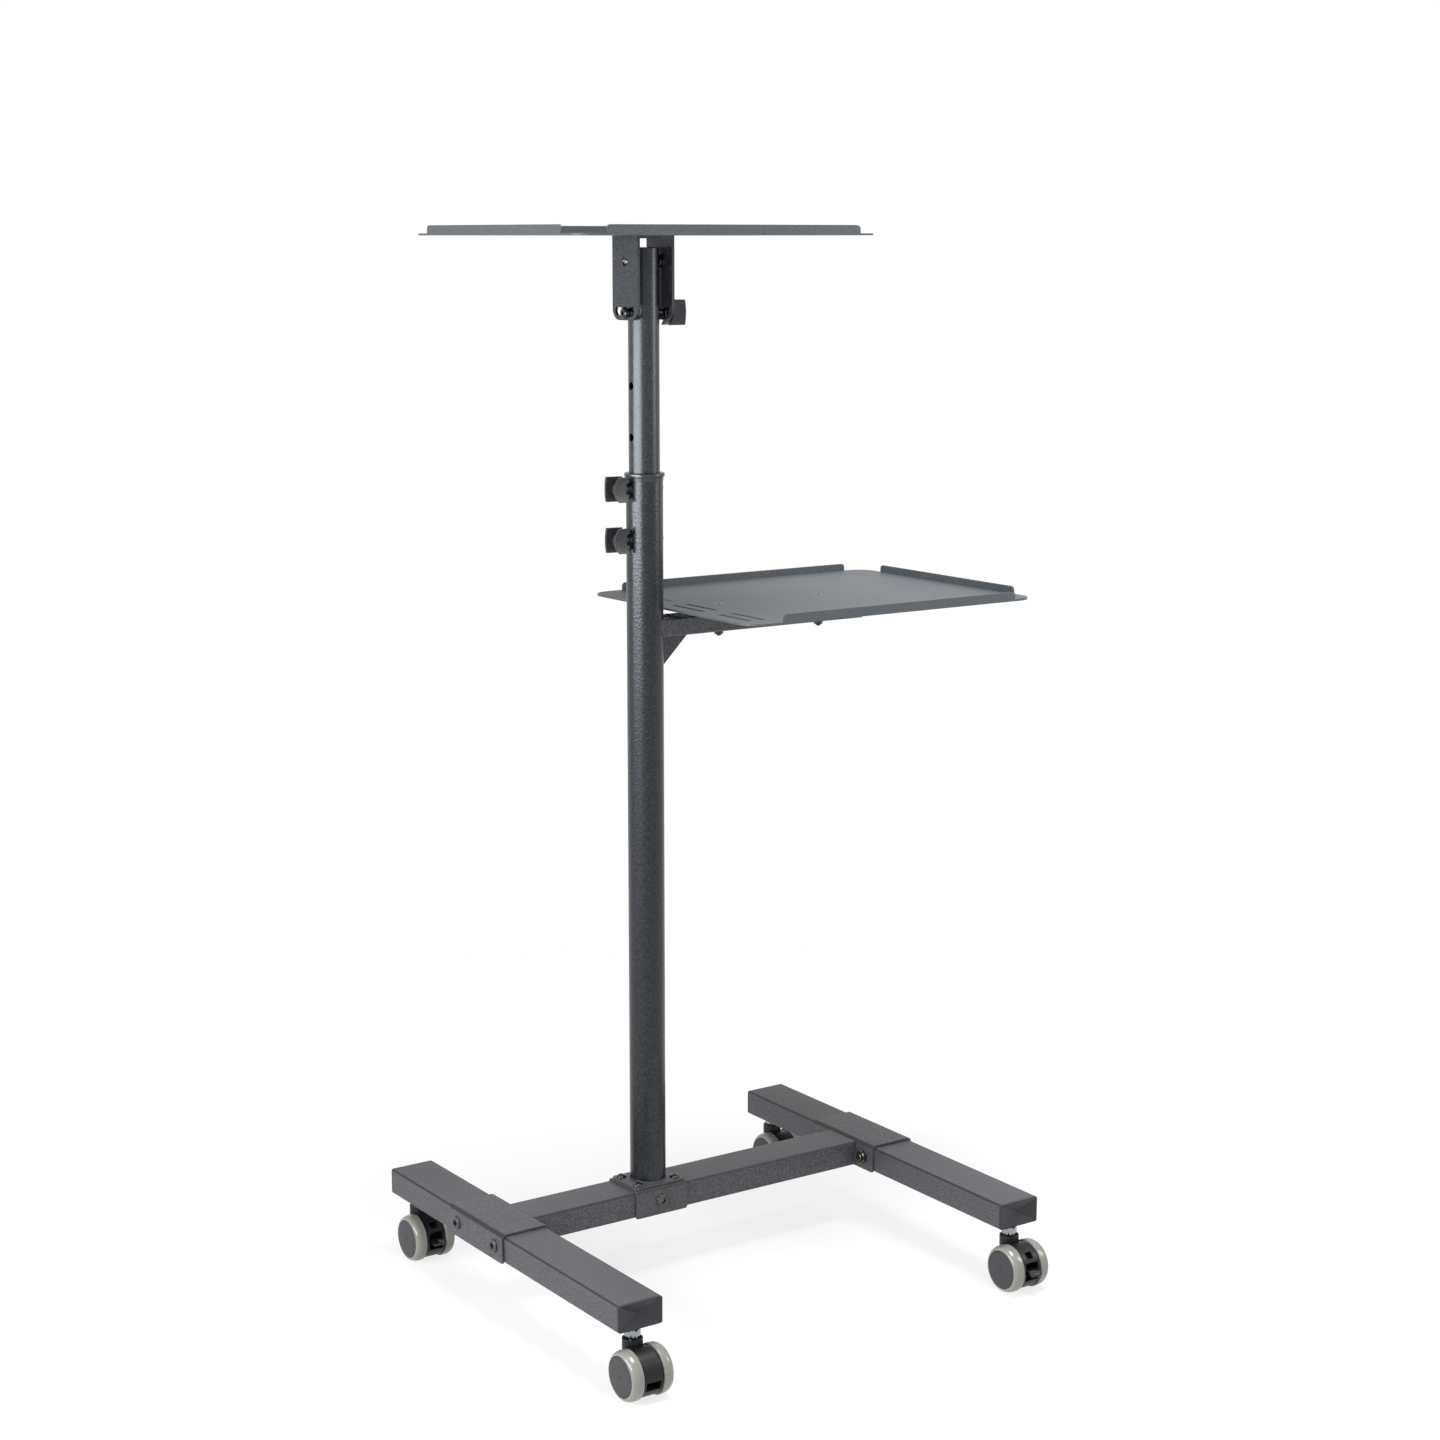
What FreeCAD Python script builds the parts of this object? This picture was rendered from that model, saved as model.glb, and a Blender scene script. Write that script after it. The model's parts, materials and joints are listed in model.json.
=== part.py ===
import FreeCAD, Part
import math
import os
import Sketcher

# Projector cart: an H-shaped base of flat rectangular tube on four swivel casters, a telescopic
# column off the middle of the cross beam, a fixed lower shelf and a tilting top shelf.
# Millimetres. X runs along the cross beam, Y to the back, Z up. The origin lies on the floor
# under the middle of the whole cart. Every driving size is a cell of the sheet Sizes.

os.makedirs("parts", exist_ok=True)
doc = FreeCAD.newDocument("ProjectorCart")
sheet = doc.addObject("Spreadsheet::Sheet", "Sizes")

SIZES = (
    # Legs, their caps and the cross beam
    ("leg_length", 460), ("leg_width", 50), ("leg_depth", 25), ("leg_spacing", 472),
    ("tube_wall", 2), ("tube_corner", 4), ("cap_flange", 3), ("cap_dish", 2), ("cap_plug", 6),
    ("cap_play", 0.3), ("cap_border", 3), ("beam_width", 50), ("beam_back", 41),
    # Folded clasps and their bolts
    ("sleeve_length", 110), ("clasp_sheet", 2.5), ("sleeve_flap", 21), ("bend", 4),
    ("sleeve_bolt_gap", 77), ("bolt_shank", 8), ("bolt_head", 14), ("bolt_head_height", 3),
    ("bolt_socket", 8), ("bolt_socket_depth", 2), ("hole_play", 0.2), ("nut_height", 5),
    ("saddle_length", 64), ("saddle_flap", 26), ("saddle_round", 8),
    # Foot of the column
    ("foot_plate", 3), ("foot_length", 62), ("foot_width", 48), ("foot_corner", 5),
    ("foot_weld", 5), ("weld_hollow", 1.7), ("screw_gap_x", 47), ("screw_gap_y", 32),
    ("screw_head", 9), ("screw_head_height", 3.5), ("screw_bevel", 1.6), ("screw_shank", 5),
    # Column, collar and mast
    ("column_left", 52), ("column_outside", 38), ("column_length", 745.5), ("column_wall", 2),
    ("collar_outside", 41.5), ("collar_flange", 5), ("collar_ring", 3), ("collar_step", 0.5),
    ("collar_skirt", 45), ("slide_play", 0.05), ("mast_outside", 31.8), ("mast_wall", 1.8),
    ("mast_length", 496), ("mast_rise", 226), ("pin_hole", 8), ("pin_pitch", 52), ("pin_count", 6),
    ("pins_showing", 2), ("plug_height", 2), ("plug_depth", 8), ("rivet", 8), ("rivet_height", 1.5),
    # Clamp knobs
    ("knob_below_top", 8), ("boss_outside", 12), ("boss_height", 3), ("stud", 6),
    ("stud_gap", 0.3), ("knob_hub", 13), ("knob_start", 4.5), ("knob_reach", 15.5),
    ("knob_height", 25.5), ("knob_spread", 28), ("knob_waist", 17), ("knob_round", 4),
    ("wing_wall", 4), ("hub_length", 12),
    # Trays, the arm and its gusset
    ("top_length", 350), ("top_depth", 330), ("low_length", 372), ("low_depth", 302),
    ("tray_sheet", 2), ("tray_corner", 22), ("lip_height", 10), ("lip_gap", 29),
    ("side_lip_gap", 35), ("open_lip_gap", 41), ("lip_round", 4), ("lower_height", 710),
    ("lower_gap", 26.5), ("spacer_height", 6), ("slot_width", 4.5), ("slot_length", 55),
    ("slot_pitch", 16), ("slot_edge", 19), ("slot_columns", 2), ("slot_rows", 3),
    ("slot_row_gap", 83), ("slot_shift", 13),
    ("arm_width", 34), ("arm_depth", 19), ("arm_length", 250), ("arm_corner", 2),
    ("gusset_out", 34), ("gusset_down", 34), ("gusset_sheet", 3), ("arm_screw_first", 92),
    ("arm_screw_gap", 130),
    # Tilting head
    ("head_sheet", 3), ("head_inside", 38), ("head_width", 47), ("head_drop", 84),
    ("head_round", 12), ("pivot_below_shelf", 25.7), ("pivot_above_mast", -14), ("pivot_hole", 10),
    ("pin_play", 0.05), ("pin", 8), ("tilt_radius", 51), ("tilt_opening", 9), ("tilt_angle", 16),
    ("washer", 15), ("face_gap", 0.3), ("head_screw_x", 24), ("head_screw_y", 30),
    # Casters
    ("caster_height", 70), ("stem_inset", 15), ("caster_trail", 15), ("wheel", 50),
    ("wheel_width", 14), ("tyre_round", 4), ("tyre_bevel", 1.2), ("hub", 39.5), ("hub_dish", 2),
    ("hub_rim", 3),
    ("hub_boss", 12), ("hood_width", 22), ("hood_outside", 47), ("hood_above_floor", 5),
    ("wheel_gap", 0.7), ("axle", 6), ("neck", 20.5), ("neck_gap", 15), ("stem_nut", 16),
    ("stem_nut_height", 9), ("stem_shaft", 12), ("stem_pin", 9), ("stem_depth", 18),
    ("stem_thread", 10), ("stem_grip", 16), ("lever_width", 14), ("lever_reach", 31),
    ("lever_thick", 4), ("lever_tip", 3), ("lever_pivot", 16), ("lever_pin", 3), ("lever_barrel", 7),
    ("lever_room", 9), ("lever_play", 1),
)

for number, (alias, amount) in enumerate(SIZES):
    sheet.set("A%d" % (number + 1), alias)
    sheet.set("B%d" % (number + 1), str(amount))
    sheet.setAlias("B%d" % (number + 1), alias)
doc.recompute()


def full(expression):
    """An expression of bare size names as one of sheet cells."""
    names = dict(SIZES)
    words, word = [], ""
    for mark in expression + " ":
        if mark.isalnum() or mark == "_":
            word += mark
            continue
        words.append("Sizes." + word if word in names else word)
        words.append(mark)
        word = ""
    return "".join(words).strip()


def value(expression):
    """The number that an expression of size names gives."""
    return float(sheet.evalExpression(full(expression)))


def bind(item, **sizes):
    """Bind properties of an object to expressions of size names."""
    for name, expression in sizes.items():
        item.setExpression(name, full(expression))
    return item


def place(item, point, toward=(0, 0, 1)):
    """Put an object at a point with its own Z axis along a direction."""
    turn = FreeCAD.Rotation(FreeCAD.Vector(0, 0, 1), FreeCAD.Vector(*toward))
    item.Placement = FreeCAD.Placement(FreeCAD.Vector(*point), turn)
    return item


def spin(item, point, angle):
    """Put an object at a point, turned about the vertical."""
    turn = FreeCAD.Rotation(FreeCAD.Vector(0, 0, 1), angle)
    item.Placement = FreeCAD.Placement(FreeCAD.Vector(*point), turn)
    return item


def box(name, length, width, height, centre):
    """A box about its middle."""
    item = bind(doc.addObject("Part::Box", name), Length=length, Width=width, Height=height)
    sides = [value(side) / 2 for side in (length, width, height)]
    return place(item, [centre[k] - sides[k] for k in range(3)])


def rod(name, outside, length, point, toward=(0, 0, 1)):
    """A cylinder from a point along a direction."""
    item = bind(doc.addObject("Part::Cylinder", name), Radius="(%s) / 2" % outside, Height=length)
    return place(item, point, toward)


def bar(name, outside, length, centre, toward=(0, 0, 1)):
    """A cylinder about its middle along a direction."""
    half = value(length) / 2
    return rod(name, outside, length, [centre[k] - half * toward[k] for k in range(3)], toward)


def fuse(name, *items):
    """One solid made of several."""
    item = doc.addObject("Part::MultiFuse", name)
    item.Shapes = list(items)
    item.Refine = True
    return item


def cut(name, base, *tools):
    """A solid less one or more others."""
    item = doc.addObject("Part::Cut", name)
    item.Base = base
    item.Tool = tools[0] if len(tools) == 1 else fuse(name + "_tools", *tools)
    item.Refine = True
    return item


def group(name, *items):
    """Several separate solids kept as one sub-part."""
    item = doc.addObject("Part::Compound", name)
    item.Links = list(items)
    return item


def body(name):
    """An empty PartDesign body."""
    return doc.addObject("PartDesign::Body", name)


def sketch(owner, name, role):
    """A sketch on one of the body's own origin planes."""
    item = owner.newObject("Sketcher::SketchObject", name)
    plane = [entry for entry in owner.Origin.OriginFeatures if entry.Role == role][0]
    item.AttachmentSupport = [(plane, "")]
    item.MapMode = "FlatFace"
    return item


def outline(item, corners):
    """Add a closed polygon whose corners are pairs of expressions, each bound to the sheet."""
    points = [FreeCAD.Vector(value(across), value(up), 0) for across, up in corners]
    count = len(points)
    first = item.GeometryCount
    for number in range(count):
        item.addGeometry(Part.LineSegment(points[number], points[(number + 1) % count]), False)
    for number in range(count):
        after = first + (number + 1) % count
        item.addConstraint(Sketcher.Constraint("Coincident", first + number, 2, after, 1))
    for number, (across, up) in enumerate(corners):
        line = first + number
        for kind, text, amount in (("DistanceX", across, points[number].x),
                                   ("DistanceY", up, points[number].y)):
            mark = item.addConstraint(Sketcher.Constraint(kind, -1, 1, line, 1, amount))
            item.setExpression("Constraints[%d]" % mark, full(text))
    return item


def rectangle(item, wide, high, across="0", up="0"):
    """Add a rectangle about a middle point."""
    left, right = "(%s) - (%s) / 2" % (across, wide), "(%s) + (%s) / 2" % (across, wide)
    low, top = "(%s) - (%s) / 2" % (up, high), "(%s) + (%s) / 2" % (up, high)
    return outline(item, ((left, low), (right, low), (right, top), (left, top)))


def pad(owner, name, profile, length, midplane=False):
    """A pad of a sketch by a bound length."""
    item = owner.newObject("PartDesign::Pad", name)
    item.Profile = profile
    item.Midplane = midplane
    return bind(item, Length=length)


def pocket(owner, name, profile):
    """A pocket right through the body, both ways from its sketch."""
    item = owner.newObject("PartDesign::Pocket", name)
    item.Profile = profile
    item.Midplane = True
    item.Type = "ThroughAll"
    return item


def turned(name, corners, point, toward=(0, 0, 1)):
    """A body turned from a half outline of radius and height pairs about its own Z axis."""
    owner = place(body(name), point, toward)
    half = outline(sketch(owner, name + "_half", "XZ_Plane"), corners)
    item = owner.newObject("PartDesign::Revolution", name + "_turn")
    item.Profile = half
    item.ReferenceAxis = (half, ["V_Axis"])
    item.Angle = 360
    return owner


def fillet(owner, name, radius, chosen):
    """Round the edges of a body's last feature that a test on the edge picks out."""
    doc.recompute()
    base = owner.Tip
    edges = ["Edge%d" % (number + 1) for number, edge in enumerate(base.Shape.Edges) if chosen(edge)]
    item = owner.newObject("PartDesign::Fillet", name)
    item.Base = (base, edges)
    return bind(item, Radius=radius)


def runs(edge, direction):
    """True for a straight edge along a direction."""
    if not isinstance(edge.Curve, Part.Line):
        return False
    return abs(edge.Curve.Direction.dot(FreeCAD.Vector(*direction))) > 0.999


def near(number, target):
    """True for two lengths that are the same."""
    return abs(number - target) < 0.01


X, Y, Z = (1, 0, 0), (0, 1, 0), (0, 0, 1)
LEFT, DOWN, FRONT = (-1, 0, 0), (0, 0, -1), (0, -1, 0)
SIDES = (("left", -1), ("right", 1))
ENDS = (("front", -1), ("back", 1))
EDGES = {"front": (0, -1), "back": (0, 1), "left": (-1, 0), "right": (1, 0)}

# Places that several sub-parts share, worked out from the sheet
reach_left = value("leg_spacing / 2 + leg_width / 2 + clasp_sheet + bolt_head_height")
reach_right = value("lower_gap + low_length - column_left")
reach_front = value("leg_length / 2 - stem_inset + caster_trail + lever_reach")
reach_back = value("leg_length / 2")
base_x = (reach_left - reach_right) / 2
base_y = (reach_front - reach_back) / 2
leg_top = value("caster_height + leg_depth")
leg_middle = value("caster_height + leg_depth / 2")
beam_y = base_y + value("beam_back")
column_x = base_x - value("column_left")
column_y = beam_y
foot_bottom = leg_top + value("clasp_sheet")
foot_top = foot_bottom + value("foot_plate")
column_top = foot_top + value("column_length")
knob_heights = {"upper": column_top - value("knob_below_top")}
knob_heights["lower"] = knob_heights["upper"] - value("pin_pitch")
collar_top = column_top + value("collar_ring + collar_flange")
mast_top = collar_top + value("mast_rise")
pivot_z = mast_top + value("pivot_above_mast")
clamp_z = pivot_z - value("tilt_radius")
shelf_z = pivot_z + value("pivot_below_shelf")
arm_top = value("lower_height - spacer_height")


def leg_x(way):
    """Middle of a leg across the cart."""
    return base_x + way * value("leg_spacing") / 2


def stem_y(way):
    """Axis of a caster stem."""
    return base_y + way * value("leg_length / 2 - stem_inset")


def bolt_y(way):
    """Axis of a sleeve bolt."""
    return beam_y + way * value("sleeve_bolt_gap") / 2


def tube(name, length, width, depth, corner, point, angle, *tools):
    """A rectangular tube with rounded long edges about its middle, drilled by the tools."""
    owner = spin(body(name + "_section"), point, angle)
    outer = rectangle(sketch(owner, name + "_outer", "XZ_Plane"), width, depth)
    pad(owner, name + "_outside", outer, length, midplane=True)
    fillet(owner, name + "_corners", corner, lambda edge: runs(edge, Y))
    inner = sketch(owner, name + "_inner", "XZ_Plane")
    rectangle(inner, "%s - 2 * tube_wall" % width, "%s - 2 * tube_wall" % depth)
    pocket(owner, name + "_bore", inner)
    return cut(name, owner, *tools)


def legs():
    """Two legs, drilled for the sleeve bolts and the caster stems."""
    for side, way in SIDES:
        tools = []
        for end, along in ENDS:
            name = "leg_%s_%s" % (side, end)
            tools.append(bar(name + "_bolt_hole", "bolt_shank + 2 * hole_play", "2 * leg_width",
                             (leg_x(way), bolt_y(along), leg_middle), X))
            tools.append(bar(name + "_stem_hole", "stem_thread + 2 * hole_play", "leg_depth",
                             (leg_x(way), stem_y(along), value("caster_height")), Z))
        tube("leg_" + side, "leg_length - 2 * cap_flange", "leg_width", "leg_depth", "tube_corner",
             (leg_x(way), base_y, leg_middle), 0, *tools)
        yield "leg_" + side


def leg_cap(name, x, way):
    """A plastic tube cap: a flange with a shallow pyramid dished into it, and a plug."""
    face = base_y + way * value("leg_length / 2")
    owner = place(body(name + "_flange"), (x, face - way * value("cap_flange / 2"), leg_middle))
    outside = rectangle(sketch(owner, name + "_face", "XZ_Plane"), "leg_width", "leg_depth")
    pad(owner, name + "_pad", outside, "cap_flange", midplane=True)
    fillet(owner, name + "_round", "tube_corner", lambda edge: runs(edge, Y))
    inside = "2 * tube_wall + 2 * cap_play"
    plug = box(name + "_plug", "leg_width - (%s)" % inside, "cap_plug", "leg_depth - (%s)" % inside,
               (x, face - way * value("cap_flange + cap_plug / 2"), leg_middle))
    dish = doc.addObject("Part::Wedge", name + "_dish")
    bind(dish, Xmin="cap_border", Xmax="leg_width - cap_border", Zmin="cap_border",
         Zmax="leg_depth - cap_border", Ymin="0", Ymax="cap_dish", X2min="leg_depth / 2",
         X2max="leg_width - leg_depth / 2", Z2min="leg_depth / 2 - cap_play",
         Z2max="leg_depth / 2 + cap_play")
    corner = (x + way * value("leg_width / 2"), face, value("caster_height"))
    spin(dish, corner, 180 if way > 0 else 0)
    return cut(name, fuse(name + "_solid", owner, plug), dish)


def leg_caps():
    """The caps of both ends of each leg."""
    for side, way in SIDES:
        caps = [leg_cap("cap_%s_%s" % (side, end), leg_x(way), along) for end, along in ENDS]
        group("leg_caps_" + side, *caps)
        yield "leg_caps_" + side


def clasp(name, inside, length, flap, corner, point, angle, *tools):
    """A sheet folded down over a tube as an upturned U, standing on the tube's top face."""
    owner = spin(body(name + "_sheet"), point, angle)
    half, outer, low = inside + " / 2", inside + " / 2 + clasp_sheet", "0 - " + flap
    outline(sketch(owner, name + "_section", "XZ_Plane"),
            (("0 - %s - clasp_sheet" % half, low), ("0 - " + half, low), ("0 - " + half, "0"),
             (half, "0"), (half, low), (outer, low), (outer, "clasp_sheet"),
             ("0 - %s - clasp_sheet" % half, "clasp_sheet")))
    pad(owner, name + "_fold", owner.Group[-1], length, midplane=True)
    top, foot = value("clasp_sheet"), -value(flap)
    fillet(owner, name + "_bend", "bend",
           lambda edge: runs(edge, Y) and near(edge.CenterOfMass.z, top))
    fillet(owner, name + "_corners", corner,
           lambda edge: runs(edge, X) and near(edge.CenterOfMass.z, foot))
    return cut(name, owner, *tools)


def sleeves():
    """The sleeves that clasp the legs at the ends of the beam."""
    for side, way in SIDES:
        tools = [bar("sleeve_%s_%s_hole" % (side, end), "bolt_shank + 2 * hole_play", "2 * leg_width",
                     (leg_x(way), bolt_y(along), leg_middle), X) for end, along in ENDS]
        clasp("sleeve_" + side, "leg_width", "sleeve_length", "sleeve_flap", "bend",
              (leg_x(way), beam_y, leg_top), 0, *tools)
        yield "sleeve_" + side


def socket_bolt(name, grip, point, toward):
    """A low socket-head bolt whose head sits at a point, with its nut past the grip."""
    head, shank, socket = "bolt_head / 2", "bolt_shank / 2", "bolt_socket / 2"
    end, floor = "0 - (%s)" % grip, "bolt_head_height - bolt_socket_depth"
    return turned(name, (("0", end + " - nut_height"), (head, end + " - nut_height"), (head, end),
                         (shank, end), (shank, "0"), (head, "0"), (head, "bolt_head_height"),
                         (socket, "bolt_head_height"), (socket, floor), ("0", floor)), point, toward)


def sleeve_bolts():
    """The four bolts that draw the sleeves onto the legs, heads outward."""
    bolts = []
    for side, way in SIDES:
        for end, along in ENDS:
            point = (leg_x(way) + way * value("leg_width / 2 + clasp_sheet"), bolt_y(along), leg_middle)
            bolts.append(socket_bolt("sleeve_bolt_%s_%s" % (side, end), "leg_width + 2 * clasp_sheet",
                                     point, (way, 0, 0)))
    group("sleeve_bolts", *bolts)
    return ["sleeve_bolts"]


def screw_places():
    """The four foot screws about the column."""
    for side, way in SIDES:
        for end, along in ENDS:
            yield ("%s_%s" % (side, end), column_x + way * value("screw_gap_x / 2"),
                   column_y + along * value("screw_gap_y / 2"))


def foot_drills(name):
    """Drills for the foot screws, through the foot, the saddle and the top of the beam."""
    return [rod("%s_%s_drill" % (name, label), "screw_shank + 2 * hole_play", "leg_depth",
                (x, y, leg_top - value("leg_depth / 2"))) for label, x, y in screw_places()]


def saddle_drill(name):
    """A drill for the bolt through the saddle and the beam."""
    return bar(name + "_bolt_drill", "bolt_shank + 2 * hole_play", "2 * beam_width",
               (column_x, beam_y, leg_middle), Y)


def cross_beam():
    """The beam between the sleeves."""
    tube("cross_beam", "leg_spacing - leg_width - 2 * clasp_sheet", "beam_width", "leg_depth",
         "tube_corner", (base_x, beam_y, leg_middle), 90, saddle_drill("beam"), *foot_drills("beam"))
    return ["cross_beam"]


def saddle():
    """The saddle that straddles the beam under the column, and its bolt."""
    clasp("saddle", "beam_width", "saddle_length", "saddle_flap", "saddle_round",
          (column_x, beam_y, leg_top), 90, saddle_drill("saddle"), *foot_drills("saddle"))
    point = (column_x, beam_y - value("beam_width / 2 + clasp_sheet"), leg_middle)
    socket_bolt("saddle_bolt", "beam_width + 2 * clasp_sheet", point, FRONT)
    return ["saddle", "saddle_bolt"]


def column_foot():
    """The foot plate with the weld bead that carries the column."""
    owner = place(body("foot_sheet"), (column_x, column_y, foot_bottom))
    outside = rectangle(sketch(owner, "foot_outline", "XY_Plane"), "foot_length", "foot_width")
    pad(owner, "foot_pad", outside, "foot_plate")
    fillet(owner, "foot_corners", "foot_corner", lambda edge: runs(edge, Z))
    radius = "column_outside / 2"
    half = ((radius, "0"), (radius + " + foot_weld", "0"),
            (radius + " + weld_hollow", "weld_hollow"), (radius, "foot_weld"))
    bead = turned("foot_bead", half, (column_x, column_y, foot_top))
    cut("column_foot", fuse("foot_solid", owner, bead), *foot_drills("foot"))
    return ["column_foot"]


def pan_screw(name, length, point):
    """A pan-head screw with a bevelled rim that stands on a point, its shank running down."""
    head, shank, top = "screw_head / 2", "screw_shank / 2", "screw_head_height"
    low = "0 - (%s)" % length
    return turned(name, (("0", low), (shank, low), (shank, "0"), (head, "0"),
                         (head, top + " - screw_bevel"), (head + " - screw_bevel", top), ("0", top)), point)


def flat_screw(name, length, point, play="0"):
    """A countersunk screw whose head is level with a point; with play, the drill for one."""
    head, shank = "screw_head / 2 + " + play, "screw_shank / 2 + " + play
    low = "0 - (%s)" % length
    half = (("0", low), (shank, low), (shank, "0 - tray_sheet"), (head, "0"), ("0", "0"))
    return turned(name, half, point)


def foot_screws():
    """Four screws that hold the foot to the saddle and the beam."""
    length = "foot_plate + clasp_sheet + tube_wall"
    group("foot_screws", *[pan_screw("foot_screw_" + label, length, (x, y, foot_top))
                           for label, x, y in screw_places()])
    return ["foot_screws"]


def column_tube():
    """The outer tube with a welded boss for each clamp knob, and a rivet across from each."""
    outside = rod("column_outer", "column_outside", "column_length", (column_x, column_y, foot_top))
    solids = [outside]
    tools = [rod("column_bore", "column_outside - 2 * column_wall", "column_length",
                 (column_x, column_y, foot_top))]
    for label, height in knob_heights.items():
        point = (column_x, column_y, height)
        solids.append(rod("boss_" + label, "boss_outside", "column_outside / 2 + boss_height", point, LEFT))
        tools.append(rod("boss_bore_" + label, "stud + 2 * slide_play", "column_outside", point, LEFT))
        solids.append(rod("rivet_" + label, "rivet", "column_outside / 2 + rivet_height", point, X))
    cut("column_tube", fuse("column_solid", *solids), *tools)
    return ["column_tube"]


def column_collar():
    """The plastic collar on the column's mouth, with the skirt that guides the mast."""
    bore, skirt = "mast_outside / 2 + slide_play", "column_outside / 2 - column_wall"
    ring, flange = "column_outside / 2 + collar_step", "collar_outside / 2"
    top, shoulder = "collar_ring + collar_flange", "collar_ring + collar_step"
    turned("collar_turned", ((bore, "0 - collar_skirt"), (skirt, "0 - collar_skirt"), (skirt, "0"),
                             (ring, "0"), (ring, "collar_ring"), (flange, shoulder), (flange, top),
                             (bore, top)), (column_x, column_y, column_top))
    cut("column_collar", doc.getObject("collar_turned"),
        rod("collar_drill", "stud + 2 * hole_play", "column_outside",
            (column_x, column_y, knob_heights["upper"]), LEFT))
    return ["column_collar"]


def mast():
    """The inner tube with its row of pin holes and the bores of the tilting head, and its plug."""
    bottom = mast_top - value("mast_length")
    outside = rod("mast_outer", "mast_outside", "mast_length - plug_height", (column_x, column_y, bottom))
    tools = [rod("mast_bore", "mast_outside - 2 * mast_wall", "mast_length", (column_x, column_y, bottom))]
    for number in range(int(value("pin_count"))):
        height = knob_heights["upper"] + value("pin_pitch * (pins_showing - %d)" % number)
        tools.append(rod("mast_pin_hole_%d" % number, "pin_hole", "mast_outside",
                         (column_x, column_y, height), LEFT))
    for label, height in (("pivot", pivot_z), ("clamp", clamp_z)):
        tools.append(bar("mast_%s_bore" % label, "pin + 2 * pin_play", "2 * mast_outside",
                         (column_x, column_y, height), X))
    cut("mast_tube", outside, *tools)
    outer, inner = "mast_outside / 2", "mast_outside / 2 - mast_wall"
    turned("mast_plug", (("0", "0 - plug_height"), (inner + " - mast_wall", "0 - plug_depth"),
                         (inner, "0 - plug_depth"), (inner, "0 - plug_height"), (outer, "0 - plug_height"),
                         (outer, "0"), ("0", "0")), (column_x, column_y, mast_top))
    return ["mast_tube", "mast_plug"]


def wing_knob(name, point, way, bore):
    """A wing knob: two broad wings that spread from a hub, pointing to the left or the right."""
    plan_body = spin(body(name + "_plan"), point, 180 if way < 0 else 0)
    waist, tip = "knob_waist / 2", "knob_spread / 2"
    plan = outline(sketch(plan_body, name + "_spread", "XY_Plane"),
                   (("0", "0 - " + waist), ("0", waist), ("knob_reach", tip),
                    ("knob_reach", tip + " - wing_wall"), ("wing_wall", waist + " - wing_wall"),
                    ("wing_wall", "wing_wall - " + waist), ("knob_reach", "wing_wall - " + tip),
                    ("knob_reach", "0 - " + tip)))
    pad(plan_body, name + "_tall", plan, "knob_height", midplane=True)
    side_body = spin(body(name + "_side"), point, 180 if way < 0 else 0)
    side = rectangle(sketch(side_body, name + "_lobe", "XZ_Plane"), "knob_reach", "knob_height",
                     "knob_reach / 2")
    pad(side_body, name + "_deep", side, "2 * knob_spread", midplane=True)
    reach = value("knob_reach")
    fillet(side_body, name + "_rounds", "knob_round",
           lambda edge: runs(edge, Y) and near(edge.CenterOfMass.x, reach))
    wings = doc.addObject("Part::Common", name + "_wings")
    wings.Base = plan_body
    wings.Tool = side_body
    hub = rod(name + "_hub", "knob_hub", "hub_length", point, (way, 0, 0))
    drill = rod(name + "_drill", bore, "hub_length", point, (way, 0, 0))
    cut(name, fuse(name + "_solid", wings, hub), drill)
    return name


def column_knobs():
    """The clamp knobs on the left of the column, with the studs that press on the mast."""
    for label, height in knob_heights.items():
        start = column_x - value("column_outside / 2 + knob_start")
        yield wing_knob("knob_" + label, (start, column_y, height), -1, "stud")
        tip = "mast_outside / 2 + stud_gap"
        length = "column_outside / 2 + knob_start + hub_length - (%s)" % tip
        rod("stud_" + label, "stud", length, (column_x - value(tip), column_y, height), LEFT)
        yield "stud_" + label


def tray(name, point, wide, deep, lips, drills):
    """A sheet tray about its middle, with two columns of strap slots near its left edge and turned-up
    lips: each lip goes by its edge, with the gaps it leaves at its two ends."""
    owner = place(body(name + "_sheet"), point)
    deck = rectangle(sketch(owner, name + "_deck", "XY_Plane"), wide, deep)
    pad(owner, name + "_plate", deck, "tray_sheet")
    fillet(owner, name + "_corners", "tray_corner", lambda edge: runs(edge, Z))
    for label, (first, last) in lips.items():
        across, along = EDGES[label]
        side, length = (wide, deep) if across else (deep, wide)
        run, middle = "%s - %s - %s" % (length, first, last), "(%s - %s) / 2" % (first, last)
        line = "%d * (%s - tray_sheet) / 2" % (across + along, side)
        profile = sketch(owner, "%s_%s_foot" % (name, label), "XY_Plane")
        if across:
            rectangle(profile, "tray_sheet", run, line, middle)
        else:
            rectangle(profile, run, "tray_sheet", middle, line)
        pad(owner, "%s_%s_lip" % (name, label), profile, "lip_height")
        through, reach, top = (X if across else Y), abs(value(line)), value("lip_height")

        def lip_tip(edge):
            middle = edge.CenterOfMass
            on_lip = near(across * middle.x + along * middle.y, reach)
            return on_lip and runs(edge, through) and near(middle.z, top)

        fillet(owner, "%s_%s_tips" % (name, label), "lip_round", lip_tip)
    slots = sketch(owner, name + "_strap_slots", "XY_Plane")
    rows = int(value("slot_rows"))
    for column in range(int(value("slot_columns"))):
        for row in range(rows):
            rectangle(slots, "slot_width", "slot_length",
                      "slot_edge + %d * slot_pitch - %s / 2" % (column, wide),
                      "%g * slot_row_gap - slot_shift" % (row - (rows - 1) / 2))
    pocket(owner, name + "_slots", slots)
    cut(name, owner, *drills)
    return name


def arm_screw_places():
    """The two screws of the lower tray along its arm."""
    for number in range(2):
        yield number, column_x + value("arm_screw_first + %d * arm_screw_gap" % number)


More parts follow.
